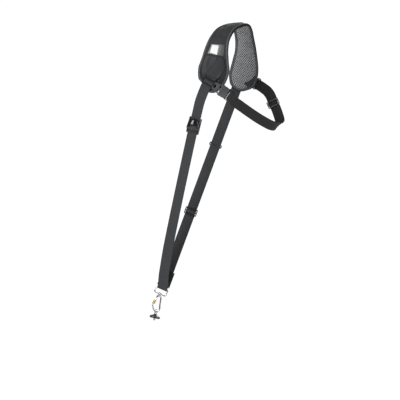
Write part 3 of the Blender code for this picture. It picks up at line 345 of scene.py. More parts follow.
def pad_point(position, side, rise):
    """A point on the pad, side metres across and rise metres outwards from between its two layers."""
    centre, across, out, half = pad_section(position)
    cup = cup_depth(position) * (side / half) ** 2
    return centre + across * side + out * (rise - cup)


def from_end(position):
    """Rows between a position and the nearer end of the pad, past the flat half row at each end."""
    return min(position, len(PAD_ROWS) - 1 - position) - 0.5


def cup_depth(position):
    return PAD_CUP * smooth_step(from_end(position) / 2)


def crown(position, side, half):
    """0 at the binding, 1 on the full padding."""
    inside = half - abs(side) - PAD_MARGIN
    return smooth_step(inside / CROWN_RUN) * smooth_step(from_end(position))


def shell_top(position, side, half):
    return FIT / 2 + SHELL_EDGE + (SHELL_CROWN - SHELL_EDGE) * crown(position, side, half)


def lining_depth(position, side, half):
    return FIT / 2 + LINING_EDGE + (LINING_CROWN - LINING_EDGE) * crown(position, side, half)


# Rounds and halvings of the search, and the row near the crest where each half of the pad ends
LOCATE_ROUNDS = 4
LOCATE_HALVINGS = 17
FRONT_TOP = 7.0
REAR_TOP = 9.0


def pad_locate(x, z, rear=False):
    """Position and side on one half of the pad for a place seen from the front."""
    side = 0.0
    for _ in range(LOCATE_ROUNDS):
        low, high = (len(PAD_ROWS) - 1, REAR_TOP) if rear else (0.0, FRONT_TOP)
        for _ in range(LOCATE_HALVINGS):
            position = (low + high) / 2
            centre, across = pad_section(position)[:2]
            if centre.z + across.z * side < z:
                low = position
            else:
                high = position
        side = (x - centre.x) / across.x
    return position, side


def flap_lift(down, right):
    """The flap rises over the webbing at its foot, dips under the label and has one slanted crease."""
    over_web = WEB_THICK + FIT
    foot = over_web * smooth_step((down - 0.45) / 0.3)
    dent = 0.0016 * math.exp(-(((right - 0.30) / 0.22) ** 2 + ((down - 0.18) / 0.18) ** 2))
    crease = 0.0014 * math.exp(-(((right - 0.62 + 0.55 * down) / 0.07) ** 2))
    edge = 0.0020 * smooth_step((right - 0.86) / 0.14) * smooth_step((down - 0.5) / 0.3)
    return foot + crease + edge + (0.0016 - dent)


def weave(distance):
    """How far the webbing lifts to pass over the middle bar of a slider."""
    flat = BAR / 4
    share = (abs(distance) - flat) / (BAR_PITCH - flat)
    height = BAR_LIFT + BAR / 2 + 2 * FIT + WEB_THICK / 2
    return height * 0.5 * (1 + math.cos(math.pi * min(max(share, 0.0), 1.0)))


CORNER_STEPS = 8


def rounded_loop(half_width, half_height, corner):
    """Points of a rectangle with round corners, in the plane of the loop."""
    points = []
    for index, (sx, sy) in enumerate(((1, 1), (-1, 1), (-1, -1), (1, -1))):
        for i in range(CORNER_STEPS + 1):
            angle = math.radians(90 * index + 90 * i / CORNER_STEPS)
            x = sx * (half_width - corner) + corner * math.cos(angle)
            y = sy * (half_height - corner) + corner * math.sin(angle)
            points.append(Vector((x, y, 0)))
    return points


def ring_axes():
    along = Vector((math.cos(RING_TILT), 0, -math.sin(RING_TILT)))
    down = Vector((-math.sin(RING_TILT), 0, -math.cos(RING_TILT)))
    return along, down, along.cross(down)


def ring_top():
    return Vector((-RING_SIDE, 0, -RING_DROP))


def hook_place():
    """Hook frame at the foot of the swivel boss: X right, Y down the hook, Z away from the viewer."""
    right = Vector((math.cos(HOOK_TILT), 0, -math.sin(HOOK_TILT)))
    down = Vector((-math.sin(HOOK_TILT), 0, -math.cos(HOOK_TILT)))
    bar = ring_top() + ring_axes()[1] * RING_PITCH
    return frame_matrix(bar + down * (BOSS_HEIGHT / 2 + FIT), right, down, right.cross(down))


def web_rise():
    """Height of the webbing's middle over the crown of the pad."""
    return FIT / 2 + SHELL_CROWN + PANEL_GAP + WEB_THICK / 2


def bend_radius(bar):
    return bar / 2 + FIT + WEB_THICK / 2


def width_direction(lean, tip):
    """Across direction for a width that slopes down to the right by lean degrees, turned in depth by tip."""
    angle = math.radians(lean)
    return Vector((math.cos(angle), tip, -math.sin(angle))).normalized()


def front_start():
    return pad_point(FRONT_LEAVE, -WEB_WIDTH / 3, web_rise())


def rear_start():
    return pad_point(len(PAD_ROWS) - 1 - REAR_LEAVE, -WEB_WIDTH / 3, web_rise())


def front_run(share):
    """Centre and across direction of the front run, by its share of the way from the pad to the ring."""
    start = front_start()
    if share < 0:
        up = Vector((math.sin(math.radians(BUCKLE_LEAN)), 0, math.cos(math.radians(BUCKLE_LEAN))))
        on_pad = start - up * (share * run_length())
        position, side = pad_locate(on_pad.x, on_pad.z)
        return pad_point(position, side, web_rise()), width_direction(BUCKLE_LEAN, 0.0)
    stop = ring_top() - Vector((0, bend_radius(RING_WIRE), 0))
    low = max(i for i, row in enumerate(FRONT_ROWS[:-1]) if row["at"] <= share)
    first, second = FRONT_ROWS[low]["at"], FRONT_ROWS[low + 1]["at"]
    position = min(low + (share - first) / (second - first), len(FRONT_ROWS) - 1)
    bow = through(FRONT_ROWS, "bow", position) * FRONT_BOW
    across = width_direction(through(FRONT_ROWS, "lean", position), through(FRONT_ROWS, "tip", position))
    return start.lerp(stop, share) - Vector((bow, 0, 0)), across


def rear_run(share):
    """Centre and across direction of the rear run, by its share of the way from the ring to the pad."""
    start = ring_top() + Vector((0, bend_radius(RING_WIRE), 0))
    stop = rear_start()
    ring_lean = math.degrees(RING_TILT)
    lean = ring_lean + (REAR_LEAN - ring_lean) * smooth_step(share / 0.3)
    if share > 1:
        up = Vector((math.sin(math.radians(lean)), 0, math.cos(math.radians(lean))))
        on_pad = stop + up * ((share - 1) * run_length())
        position, side = pad_locate(on_pad.x, on_pad.z, rear=True)
        return pad_point(position, side, web_rise()), width_direction(lean, 0.0)
    bow = RUN_BOW * math.sin(math.pi * share)
    return start.lerp(stop, share) + Vector((0, bow, 0)), width_direction(lean, 0.0)


def underarm_run(position):
    """Centre and across direction of the underarm strap at a position counted in rows."""
    last = len(UNDERARM_ROWS) - 1
    at = min(position, last)

    def centre(step):
        return Vector((
            through(UNDERARM_ROWS, "x", step) * UNDERARM_REACH,
            through(UNDERARM_ROWS, "y", step) * UNDERARM_DEPTH,
            through(UNDERARM_ROWS, "z", step) * UNDERARM_DROP,
        ))

    place = centre(at)
    if position > last:
        place += (centre(last) - centre(last - 0.2)) * ((position - last) / 0.2)
    across = width_direction(-through(UNDERARM_ROWS, "lean", at), through(UNDERARM_ROWS, "tip", at))
    return place, across


def run_length():
    """Length that shares of the two main runs are counted in."""
    return RING_DROP - PAD_DROP


def run_station(run, share, step):
    """Centre, along, across and outward directions at one place on a run."""
    centre, across = run(share)
    along = (run(share + step)[0] - run(share - step)[0]).normalized()
    across = (across - along * across.dot(along)).normalized()
    return centre, along, across, along.cross(across)


def hardware_place(run, share, step, lift=0.0, upside=False):
    """Frame for a piece on a run: X across, Y along the webbing, Z outwards, lifted off its middle."""
    centre, along, across, out = run_station(run, share, step)
    if upside:
        return frame_matrix(centre + out * lift, -across, along, out)
    return frame_matrix(centre + out * lift, across, -along, out)


def fine_spread(low, high, coarse, middle, reach, fine):
    """Even steps between two ends, with finer steps where the webbing weaves through a slider."""
    steps = max(2, round((high - low) / coarse))
    values = [low + (high - low) * i / steps for i in range(steps + 1)]
    values = [value for value in values if abs(value - middle) > reach + fine]
    count = round(reach / fine)
    values += [middle + fine * i for i in range(-count, count + 1)]
    return sorted(values)


def woven(run, values, step, middle, per_metre, sign):
    """Stations of a run that lift over the middle bar of the slider on it."""
    middle_centre, way, wide, up = run_station(run, middle, step)
    stations = []
    for value in values:
        centre, _, across, out = run_station(run, value, step)
        distance = (value - middle) / per_metre
        hold = 1 - smooth_step((abs(distance) - BAR_PITCH) / BAR_PITCH)
        centre = centre.lerp(middle_centre + way * distance, hold)
        centre += up * (sign * weave(distance))
        stations.append((centre, across.lerp(wide, hold), out))
    return tilt_out(stations)


def tilt_out(stations):
    """Turns each station's outward direction square to the woven path."""
    centres = [station[0] for station in stations]
    turned = []
    last = len(stations) - 1
    for i, (centre, across, _) in enumerate(stations):
        along = (centres[min(i + 1, last)] - centres[max(i - 1, 0)]).normalized()
        across = (across - along * across.dot(along)).normalized()
        turned.append((centre, across, along.cross(across)))
    return turned


def fold(bar, across, start, radius, sign, steps=FOLD_STEPS):
    """Webbing turning half round a bar, from the unit direction start; sign picks the way."""
    stations = []
    for i in range(steps + 1):
        turned = Matrix.Rotation(math.radians(180 * sign) * i / steps, 3, across) @ start
        stations.append((bar + turned * radius, across, turned * sign))
    return stations


def loop_bar(run, share, step):
    """The bar of a loop that a run folds round, on the outer side of the run."""
    centre, along, across, out = run_station(run, share, step)
    return centre + out * bend_radius(LOOP_WIRE), along, across, out


def returning(run, start, stop, step, count, bulge=0.0):
    """The layer that comes back down the outer side of a run after the fold round a loop."""
    stations = []
    near = WEB_THICK + 2 * FIT
    far = 2 * bend_radius(LOOP_WIRE)
    for i in range(1, count + 1):
        share = i / count
        centre, _, across, out = run_station(run, start + (stop - start) * share, step)
        lift = near + (far - near) * (1 - smooth_step(share * 3)) + bulge * math.sin(math.pi * share) ** 1.2
        stations.append((centre + out * lift, across, -out))
    return stations


def underarm_per_metre():
    """Rows for each metre of the underarm strap near its slider."""
    near = underarm_run(UNDERARM_SLIDER - 0.5)[0]
    far = underarm_run(UNDERARM_SLIDER + 0.5)[0]
    return 1 / (far - near).length


def buckle_place():
    """Buckle frame at the middle bar: X along the buckle, Y up the webbing, Z towards the viewer."""
    return hardware_place(front_run, -BUCKLE_UP / run_length(), RUN_STEP, BAR_LIFT)


def frame_edge():
    return WEB_WIDTH / 2 + LOOSE + BAR


def socket_x():
    return frame_edge() + SOCKET_OFFSET


def end_bar_x():
    return socket_x() + SOCKET_LENGTH + SOCKET_TAIL - END_BAR / 2


def cam_pin_place():
    """Height along the webbing and outwards of the lever's pin."""
    return CAM_HALF_LENGTH - CAM_FOOT, WEB_THICK / 2 + CAM_GAP + CAM_RADIUS


def hook_point(row):
    return Vector((row["right"] * HOOK_WIDTH, HOOK_TOP + row["down"] * HOOK_LENGTH, 0))


def gate_place():
    """Gate frame at its pivot: Y along the gate towards the nose, Z away from the viewer."""
    pivot = hook_point(HOOK_ROWS[0])
    nose = hook_point(HOOK_ROWS[-1])
    way = (nose - pivot).normalized()
    out = Vector((0, 0, 1))
    local = frame_matrix(pivot, way.cross(out), way, out)
    return hook_place() @ local


def eye_place():
    """Frame of the fastener's eye: Y down, Z along the eye's own axis."""
    centre = hook_point(HOOK_ROWS[8]) - Vector((0, EYE_UP, 0))
    return hook_place() @ Matrix.Translation(centre) @ Matrix.Rotation(EYE_TURN, 4, "Y")


# How pieces are made


def mesh_data(name, mesh):
    data = bpy.data.meshes.new(name)
    mesh.to_mesh(data)
    mesh.free()
    return data


def finish_piece(name, mesh, material, body="strap"):
    """Turns worked mesh data into a smooth piece that rides on a body."""
    data = mesh_data(name, mesh)
    data.shade_smooth()
    piece = bpy.data.objects.new(name, data)
    bpy.context.scene.collection.objects.link(piece)
    data.materials.append(material)
    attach(piece, body)
    return piece


def skin(rings, chart, closed=False):
    """A grid bent round rings of points; chart gives the map place in metres of a row and column."""
    around = len(rings[0])
    rows = len(rings) if closed else len(rings) - 1
    mesh = bmesh.new()
    layer = mesh.loops.layers.uv.new("UVMap")
    bmesh.ops.create_grid(mesh, x_segments=around, y_segments=rows, size=0.5)
    for vert in mesh.verts:
        column = round((vert.co.x + 0.5) * around)
        row = round((vert.co.y + 0.5) * rows)
        vert.index = row * (around + 1) + column
    for face in mesh.faces:
        for loop in face.loops:
            loop[layer].uv = chart(*divmod(loop.vert.index, around + 1))
    for vert in mesh.verts:
        row, column = divmod(vert.index, around + 1)
        vert.co = rings[row % len(rings)][column % around]
    bmesh.ops.remove_doubles(mesh, verts=mesh.verts, dist=1e-7)
    if not closed:
        edges = [edge for edge in mesh.edges if edge.is_boundary]
        bmesh.ops.holes_fill(mesh, edges=edges, sides=0)
    bmesh.ops.recalc_face_normals(mesh, faces=mesh.faces)
    return mesh


def lengths(points):
    """Distance from the first point to each point of a line."""
    total, found = 0.0, [0.0]
    for first, second in zip(points, points[1:]):
        total += (second - first).length
        found.append(total)
    return found


def spread(low, high, count):
    return [low + (high - low) * i / count for i in range(count + 1)]


# Shader groups and the finishes that use them


def calc(tree, operation, *values):
    """One math node; each value is a number or another node's output."""
    node = tree.nodes.new("ShaderNodeMath")
    node.operation = operation
    for socket, value in zip(node.inputs, values):
        if isinstance(value, bpy.types.NodeSocket):
            tree.links.new(value, socket)
        else:
            socket.default_value = value
    return node.outputs[0]


def new_group(name, inputs, outputs):
    """An empty group with plain value inputs and outputs; Place is a vector."""
    tree = bpy.data.node_groups.new(name, "ShaderNodeTree")
    for label in inputs:
        kind = "NodeSocketVector" if label == "Place" else "NodeSocketFloat"
        tree.interface.new_socket(label, in_out="INPUT", socket_type=kind)
    for label in outputs:
        tree.interface.new_socket(label, in_out="OUTPUT", socket_type="NodeSocketFloat")
    return tree, tree.nodes.new("NodeGroupInput"), tree.nodes.new("NodeGroupOutput")


def weave_group():
    """Rows of short ribs, each row shifted by half a rib, as in woven tape."""
    tree, given, out = new_group("woven rows", ("Across", "Along", "Rib", "Row"), ("Height", "Gap"))
    rows = calc(tree, "DIVIDE", given.outputs["Across"], given.outputs["Row"])
    shift = calc(tree, "MULTIPLY", calc(tree, "FLOOR", rows), 0.5)
    ribs = calc(tree, "ADD", calc(tree, "DIVIDE", given.outputs["Along"], given.outputs["Rib"]), shift)
    rib = calc(tree, "ABSOLUTE", calc(tree, "SINE", calc(tree, "MULTIPLY", ribs, math.pi)))
    row = calc(tree, "ABSOLUTE", calc(tree, "SINE", calc(tree, "MULTIPLY", rows, math.pi)))
    height = calc(tree, "MULTIPLY", calc(tree, "POWER", rib, 0.6), calc(tree, "POWER", row, 0.5))
    tree.links.new(height, out.inputs["Height"])
    tree.links.new(calc(tree, "SUBTRACT", 1.0, height), out.inputs["Gap"])
    return tree


HOLE_SQUASH = 0.62
HOLE_BLUR = 0.13


def holes_group():
    """Staggered oval holes of a spacer mesh: Hole is 1 in a hole, Height dips into it."""
    tree, given, out = new_group("staggered holes", ("Across", "Along", "Pitch", "Size"), ("Hole", "Height"))
    high = calc(tree, "MULTIPLY", given.outputs["Pitch"], HOLE_SQUASH)
    rows = calc(tree, "DIVIDE", given.outputs["Along"], high)
    shift = calc(tree, "MULTIPLY", calc(tree, "FLOORED_MODULO", calc(tree, "FLOOR", rows), 2.0), 0.5)
    line = calc(tree, "ADD", calc(tree, "DIVIDE", given.outputs["Across"], given.outputs["Pitch"]), shift)
    x = calc(tree, "SUBTRACT", calc(tree, "FRACT", line), 0.5)
    y = calc(tree, "MULTIPLY", calc(tree, "SUBTRACT", calc(tree, "FRACT", rows), 0.5), HOLE_SQUASH)
    far = calc(tree, "SQRT", calc(tree, "ADD", calc(tree, "MULTIPLY", x, x), calc(tree, "MULTIPLY", y, y)))
    edge = calc(tree, "DIVIDE", calc(tree, "SUBTRACT", far, given.outputs["Size"]), HOLE_BLUR)
    wall = calc(tree, "MINIMUM", calc(tree, "MAXIMUM", edge, 0.0), 1.0)
    tree.links.new(calc(tree, "SUBTRACT", 1.0, wall), out.inputs["Hole"])
    tree.links.new(wall, out.inputs["Height"])
    return tree


def wear_group():
    """Soft patches and fine grain: Patches for colour, Grain for colour and relief."""
    tree, given, out = new_group("patches and grain", ("Place", "Patch", "Fine"), ("Patches", "Grain"))
    for label, scale, detail in (("Patches", "Patch", 3.0), ("Grain", "Fine", 2.0)):
        clouds = tree.nodes.new("ShaderNodeTexNoise")
        clouds.inputs["Detail"].default_value = detail
        tree.links.new(given.outputs["Place"], clouds.inputs["Vector"])
        tree.links.new(given.outputs[scale], clouds.inputs["Scale"])
        tree.links.new(clouds.outputs["Fac"], out.inputs[label])
    return tree


WEAVE = weave_group()
HOLES = holes_group()
WEAR = wear_group()


class Finish:
    """A material being put together: its tree, its Principled shader and short ways to add nodes."""

    def __init__(self, name, colour, roughness, metallic=0.0, **sockets):
        self.material = bpy.data.materials.new(name)
        self.material.use_nodes = True
        self.tree = self.material.node_tree
        self.shader = self.tree.nodes["Principled BSDF"]
        self.colour = colour
        self.roughness = roughness
        self.shader.inputs["Metallic"].default_value = metallic
        for label, value in sockets.items():
            self.shader.inputs[label.replace("_", " ")].default_value = value
        self.object_place = self.tree.nodes.new("ShaderNodeTexCoord").outputs["Object"]

    def group(self, group, **values):
        node = self.tree.nodes.new("ShaderNodeGroup")
        node.node_tree = group
        for label, value in values.items():
            if isinstance(value, bpy.types.NodeSocket):
                self.tree.links.new(value, node.inputs[label])
            else:
                node.inputs[label].default_value = value
        return node.outputs

    def chart(self):
        """Across and along on the piece's own map, in metres."""
        chart = self.tree.nodes.new("ShaderNodeUVMap")
        chart.uv_map = "UVMap"
        split = self.tree.nodes.new("ShaderNodeSeparateXYZ")
        self.tree.links.new(chart.outputs["UV"], split.inputs[0])
        return split.outputs["X"], split.outputs["Y"]

    def shade(self, *changes):
        """Base colour times one plus each (mask, amount), the mask counted from its middle."""
        factor = None
        for mask, amount in changes:
            swing = calc(self.tree, "MULTIPLY_ADD", calc(self.tree, "SUBTRACT", mask, 0.5), amount, 1.0)
            factor = swing if factor is None else calc(self.tree, "MULTIPLY", factor, swing)
        scale = self.tree.nodes.new("ShaderNodeVectorMath")
        scale.operation = "SCALE"
        scale.inputs[0].default_value = self.colour
        self.tree.links.new(factor, scale.inputs["Scale"])
        self.tree.links.new(scale.outputs[0], self.shader.inputs["Base Color"])

    def blend_colour(self, mask, first, second):
        """Base colour goes from first to second where the mask is 1."""
        mix = self.tree.nodes.new("ShaderNodeMix")
        mix.data_type = "RGBA"
        mix.inputs["A"].default_value = (*first, 1.0)
        mix.inputs["B"].default_value = (*second, 1.0)
        self.tree.links.new(mask, mix.inputs["Factor"])
        self.tree.links.new(mix.outputs["Result"], self.shader.inputs["Base Color"])

    def rough(self, mask, amount):
        """Roughness swings by amount round its own value, with the mask counted from its middle."""
        middle = calc(self.tree, "SUBTRACT", mask, 0.5)
        swing = calc(self.tree, "MULTIPLY_ADD", middle, amount, self.roughness)
        self.tree.links.new(calc(self.tree, "MAXIMUM", swing, 0.03), self.shader.inputs["Roughness"])

    def relief(self, height, depth):
        """Surface relief, depth metres deep where the height is 1."""
        bump = self.tree.nodes.new("ShaderNodeBump")
        bump.inputs["Strength"].default_value = 1.0
        bump.inputs["Distance"].default_value = depth
        self.tree.links.new(height, bump.inputs["Height"])
        self.tree.links.new(bump.outputs["Normal"], self.shader.inputs["Normal"])

    def sum(self, *terms):
        """Adds (mask, amount) pairs for one height."""
        total = 0.0
        for mask, amount in terms:
            total = calc(self.tree, "MULTIPLY_ADD", mask, amount, total)
        return total


def woven_finish(name, colour, roughness, rib, row, depth, **sockets):
    """Woven nylon: ribs in rows with a painted highlight on their tops and painted shade between them,
    slight patches of fading and a fine grain.
    """
    finish = Finish(name, colour, roughness, Specular_IOR_Level=0.22, **sockets)
    across, along = finish.chart()
    weave = finish.group(WEAVE, Across=across, Along=along, Rib=rib, Row=row)
    wear = finish.group(WEAR, Place=finish.object_place, Patch=26.0, Fine=1500.0)
    # Colour follows the weave's height: painted highlight on the rib tops, painted shade in the gaps between
    # ribs.
    finish.shade((weave["Height"], 0.5), (wear["Patches"], 0.35), (wear["Grain"], 0.4))
    finish.rough(wear["Grain"], 0.12)
    finish.relief(finish.sum((weave["Height"], 1.0), (wear["Grain"], 0.3)), depth)
    return finish.material


def mesh_finish(name, colour, dark):
    """Grey spacer mesh with dark staggered holes."""
    finish = Finish(name, colour, 0.85, Sheen_Weight=0.1, Specular_IOR_Level=0.25)
    across, along = finish.chart()
    holes = finish.group(HOLES, Across=across, Along=along, Pitch=0.0054, Size=0.185)
    wear = finish.group(WEAR, Place=finish.object_place, Patch=30.0, Fine=1600.0)
    hole = calc(finish.tree, "MINIMUM", calc(finish.tree, "ADD", holes["Hole"],
                calc(finish.tree, "MULTIPLY", wear["Grain"], 0.25)), 1.0)
    finish.blend_colour(hole, colour, dark)
    finish.rough(wear["Grain"], 0.1)
    finish.relief(finish.sum((holes["Height"], 1.0), (wear["Grain"], 0.25)), 0.0010)
    return finish.material


def moulded_finish(name, colour, roughness, grain=900.0, depth=0.00003, **sockets):
    """Moulded plastic or coated metal: fine grain, slight patches of polish."""
    finish = Finish(name, colour, roughness, **sockets)
    wear = finish.group(WEAR, Place=finish.object_place, Patch=60.0, Fine=grain)
    finish.shade((wear["Patches"], 0.35), (wear["Grain"], 0.25))
    finish.rough(wear["Patches"], 0.16)
    finish.relief(wear["Grain"], depth)
    return finish.material


def metal_finish(name, colour, roughness):
    """Polished metal with smears and hair scratches."""
    finish = Finish(name, colour, roughness, metallic=1.0)
    wear = finish.group(WEAR, Place=finish.object_place, Patch=180.0, Fine=1400.0)
    finish.shade((wear["Patches"], 0.25), (wear["Grain"], 0.12))
    finish.rough(wear["Patches"], 0.18)
    finish.relief(wear["Grain"], 0.00001)
    return finish.material


# Shoulder pad


# The pad's tips are rounded over their last rows. SHELL_DIP is how far a layer starts under its
# full height, ROOM_GRID the steps to a metre in which points are told apart.
TIP_ROWS = 0.75
TIP_SHARE = 0.30
ROW_STEPS = 8
PAD_COLUMNS = 28
SHELL_DIP = 0.0009
ROOM_GRID = 200000
SWELL_REACH = 0.0025
SWELL_FRAMES = 20
SWELL = {
    "quality": 4, "mass": 0.2, "use_pressure": True, "uniform_pressure_force": 4.0,
    "tension_stiffness": 12.0, "compression_stiffness": 12.0, "bending_stiffness": 0.3,
    "shrink_min": -0.035,
}


def pad_half(position):
    """Half width of the pad, rounded off at its two tips."""
    inward = min(min(position, len(PAD_ROWS) - 1 - position) / TIP_ROWS, 1.0)
    return pad_section(position)[3] * (TIP_SHARE + (1 - TIP_SHARE) * math.sqrt(1 - (1 - inward) ** 2))


def pad_layer(name, material, rise, floor):
    """A closed padded layer; rise and floor give its two heights at a position and side."""
    positions = spread(0.0, len(PAD_ROWS) - 1.0, (len(PAD_ROWS) - 1) * ROW_STEPS)
    shares = spread(-1.0, 1.0, PAD_COLUMNS)
    rings, places = [], []
    for position in positions:
        half = pad_half(position)
        sides = [half * share for share in shares]
        upper = [pad_point(position, side, rise(position, side, half)) for side in sides]
        lower = [pad_point(position, side, floor) for side in reversed(sides)]
        rings.append(upper + lower)
        places.append(sides + sides[::-1] + sides[:1])
    far = lengths([pad_point(position, 0.0, 0.0) for position in positions])
    mesh = skin(rings, lambda row, column: (places[row][column], far[row]))
    return finish_piece(name, mesh, material)


def room_key(point):
    return tuple(round(value * ROOM_GRID) for value in point)


def puff(piece, rooms):
    """Swells a padded layer by cloth simulation, held along its sewn edges and its underside.

    rooms gives, for each point that may move, (place under it, outward, height); no point
    passes that height.
    """
    points = piece.data.vertices
    start = [vert.co.copy() for vert in points]
    found = [rooms.get(room_key(point)) for point in start]
    held = piece.vertex_groups.new(name="sewn")
    held.add([i for i, room in enumerate(found) if room is None], 1.0, "REPLACE")
    cloth = piece.modifiers.new("swell", "CLOTH")
    for label, value in SWELL.items():
        setattr(cloth.settings, label, value)
    cloth.settings.vertex_group_mass = held.name
    cloth.settings.effector_weights.gravity = 0.0
    for frame_number in range(1, SWELL_FRAMES + 1):
        bpy.context.scene.frame_set(frame_number)
    swollen = piece.evaluated_get(bpy.context.evaluated_depsgraph_get()).data
    ended = [vert.co.copy() for vert in swollen.vertices]
    piece.modifiers.remove(cloth)
    piece.vertex_groups.remove(held)
    bpy.context.scene.frame_set(1)
    for vert, old, new, room in zip(points, start, ended, found):
        if room is None:
            continue
        foot, outward, height = room
        move = new - old
        if move.length > SWELL_REACH:
            move *= SWELL_REACH / move.length
        over = (old + move - foot).dot(outward) - height
        vert.co = old + move - outward * max(over, 0.0)
    piece.data.update()


def make_pad():
    nylon = woven_finish("pad nylon", (0.030, 0.031, 0.033), 0.78, rib=0.0009, row=0.0009,
                         depth=0.00012, Sheen_Weight=0.10)
    spacer = mesh_finish("spacer mesh", (0.360, 0.365, 0.370), (0.010, 0.010, 0.011))
    for name, node, material, rise, floor, fill, slot_name in (
        ("padded_shell", "pad_shell", nylon, shell_top, FIT / 2, 0.5, "nylon_shell"),
        ("mesh_lining", "pad_lining", spacer, lambda *place: -lining_depth(*place), -FIT / 2, 0.4,
         "spacer_mesh"),
    ):
        outward = math.copysign(1.0, floor)
        rooms = {}

        def rested(position, side, half):
            """Height before swelling, noting the room over the points inside the edge tape."""
            full = rise(position, side, half)
            low = full - outward * SHELL_DIP * crown(position, side, half)
            out = pad_section(position)[2] * outward
            foot = pad_point(position, side, 0.0)
            if abs(side) < half - BIND_LAP and TIP_ROWS < position < len(PAD_ROWS) - 1 - TIP_ROWS:
                rooms[room_key(pad_point(position, side, low))] = (foot, out, abs(full))
            return low

        layer = pad_layer(name, material, rested, floor)
        puff(layer, rooms)
        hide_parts(node)


def pad_track(positions, offset, rise):
    """A line along the pad at a given distance inside its edge; offset's sign picks the side."""
    track = []
    for position in positions:
        half = pad_half(position)
        side = math.copysign(half - abs(offset), offset)
        out = pad_section(position)[2]
        track.append((pad_point(position, side, rise), out if rise > 0 else -out))
    return track


# The tape's section: offsets from the pad's outline, outwards, and heights over the plane
# between the two layers; it overlaps the pad by BIND_LAP on both faces.
BIND_TOP = FIT / 2 + SHELL_EDGE
BIND_FOOT = -FIT / 2 - LINING_EDGE
BIND_LIFT = 0.0014
BIND_ROUND = 0.0013
BIND_LAP = 0.0048
BIND_ROW_STEPS = 7
# Columns of the tape's section that get painted shade where the tape turns round the edge
EDGE_SHADE_FROM, EDGE_SHADE_TO = 4, 10
BIND_PROFILE = (
    (-BIND_LAP, BIND_TOP + 0.0002),
    (-BIND_LAP + 0.0003, BIND_TOP + BIND_LIFT * 0.7),
    (-BIND_LAP + 0.0010, BIND_TOP + BIND_LIFT),
    (-BIND_LAP * 0.45, BIND_TOP + BIND_LIFT),
    (-0.0006, BIND_TOP + BIND_LIFT * 0.9),
    (BIND_ROUND * 0.5, BIND_TOP + BIND_LIFT * 0.4),
    (BIND_ROUND * 0.9, BIND_TOP - BIND_LIFT * 0.5),
    (BIND_ROUND, (BIND_TOP + BIND_FOOT) / 2),
    (BIND_ROUND * 0.9, BIND_FOOT + BIND_LIFT * 0.5),
    (BIND_ROUND * 0.5, BIND_FOOT - BIND_LIFT * 0.4),
    (-0.0006, BIND_FOOT - BIND_LIFT * 0.9),
    (-BIND_LAP * 0.45, BIND_FOOT - BIND_LIFT),
    (-BIND_LAP + 0.0010, BIND_FOOT - BIND_LIFT),
    (-BIND_LAP + 0.0003, BIND_FOOT - BIND_LIFT * 0.7),
    (-BIND_LAP, BIND_FOOT - 0.0002),
    (-BIND_LAP + 0.0008, BIND_FOOT + 0.0004),
    (-0.0010, BIND_FOOT + 0.0006),
    (-0.0010, BIND_TOP - 0.0006),
    (-BIND_LAP + 0.0008, BIND_TOP - 0.0004),
)


def make_binding():
    """Ribbed tape folded round the pad's whole outline, grey on its faces, with painted shade on its turned
    edge and in the gaps of its weave.
    """
    last = len(PAD_ROWS) - 1.0
    steps = spread(0.0, last, int(last) * BIND_ROW_STEPS)
    outline = [(at, -1.0) for at in steps] + [(last, share) for share in (-0.5, 0.0, 0.5)]
    outline += [(at, 1.0) for at in reversed(steps)] + [(0.0, share) for share in (0.5, 0.0, -0.5)]
    points = [pad_point(at, share * pad_half(at), 0) for at, share in outline]
    count = len(points)
    rings = []
    for i, (at, share) in enumerate(outline):
        across, out, half = pad_section(at)[1:]
        side = share * pad_half(at)
        along = (points[(i + 1) % count] - points[i - 1]).normalized()
        outward = out.cross(along).normalized()
        ring = []
        for offset, height in BIND_PROFILE:
            moved = side + offset * outward.dot(across)
            sink = cup_depth(at) * (side * side - moved * moved) / half ** 2
            ring.append(points[i] + outward * offset + out * (height + sink))
        rings.append(ring)
    profile = [Vector((x, y, 0)) for x, y in BIND_PROFILE]
    wide = lengths(profile + profile[:1])
    far = lengths(points + points[:1])
    mesh = skin(rings, lambda row, column: (wide[column], far[row]), closed=True)
    finish = Finish("binding tape", (0.095, 0.097, 0.100), 0.82, Specular_IOR_Level=0.25)
    across, along = finish.chart()
    weave = finish.group(WEAVE, Across=across, Along=along, Rib=0.0011, Row=0.2)
    wear = finish.group(WEAR, Place=finish.object_place, Patch=40.0, Fine=1500.0)
    # Painted shade: the tape's turned edge is darkened, and so are the gaps of its weave; soft patches of
    # soil are mixed in.
    middle = (wide[EDGE_SHADE_FROM] + wide[EDGE_SHADE_TO]) / 2
    reach = (wide[EDGE_SHADE_TO] - wide[EDGE_SHADE_FROM]) / 2
    near = calc(finish.tree, "ABSOLUTE", calc(finish.tree, "SUBTRACT", across, middle))
    edge = calc(finish.tree, "DIVIDE", calc(finish.tree, "SUBTRACT", reach, near), 0.0006)
    edge = calc(finish.tree, "MINIMUM", calc(finish.tree, "MAXIMUM", edge, 0.0), 1.0)
    weave_gap_shade = calc(finish.tree, "MULTIPLY", weave["Gap"], 0.2)
    soil_and_gap_shade = calc(finish.tree, "MULTIPLY_ADD", wear["Patches"], 0.25, weave_gap_shade)
    dark = calc(finish.tree, "MAXIMUM", edge, soil_and_gap_shade)
    finish.blend_colour(dark, finish.colour, (0.014, 0.014, 0.015))
    finish.rough(wear["Grain"], 0.1)
    finish.relief(weave["Height"], 0.0002)
    tape = finish_piece("edge_tape", mesh, finish.material)
    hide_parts("pad_binding")


def panel_point(rows, down, right, rise):
    """A point of a panel laid on the front half, by its shares down and to the right."""
    at = down * (len(rows) - 1)
    left_x, left_z, right_x, right_z = (through(rows, key, at) for key in PANEL_KEYS.split())
    x = (left_x + (right_x - left_x) * right) * PAD_REACH
    z = (left_z + (right_z - left_z) * right) * PAD_DROP
    position, side = pad_locate(x, z)
    half = pad_section(position)[3]
    place = pad_point(position, side, shell_top(position, side, half) + rise(down, right))
    return place, pad_section(position)[2]


PANEL_ROOT = 0.0014
PANEL_RIM = 0.45


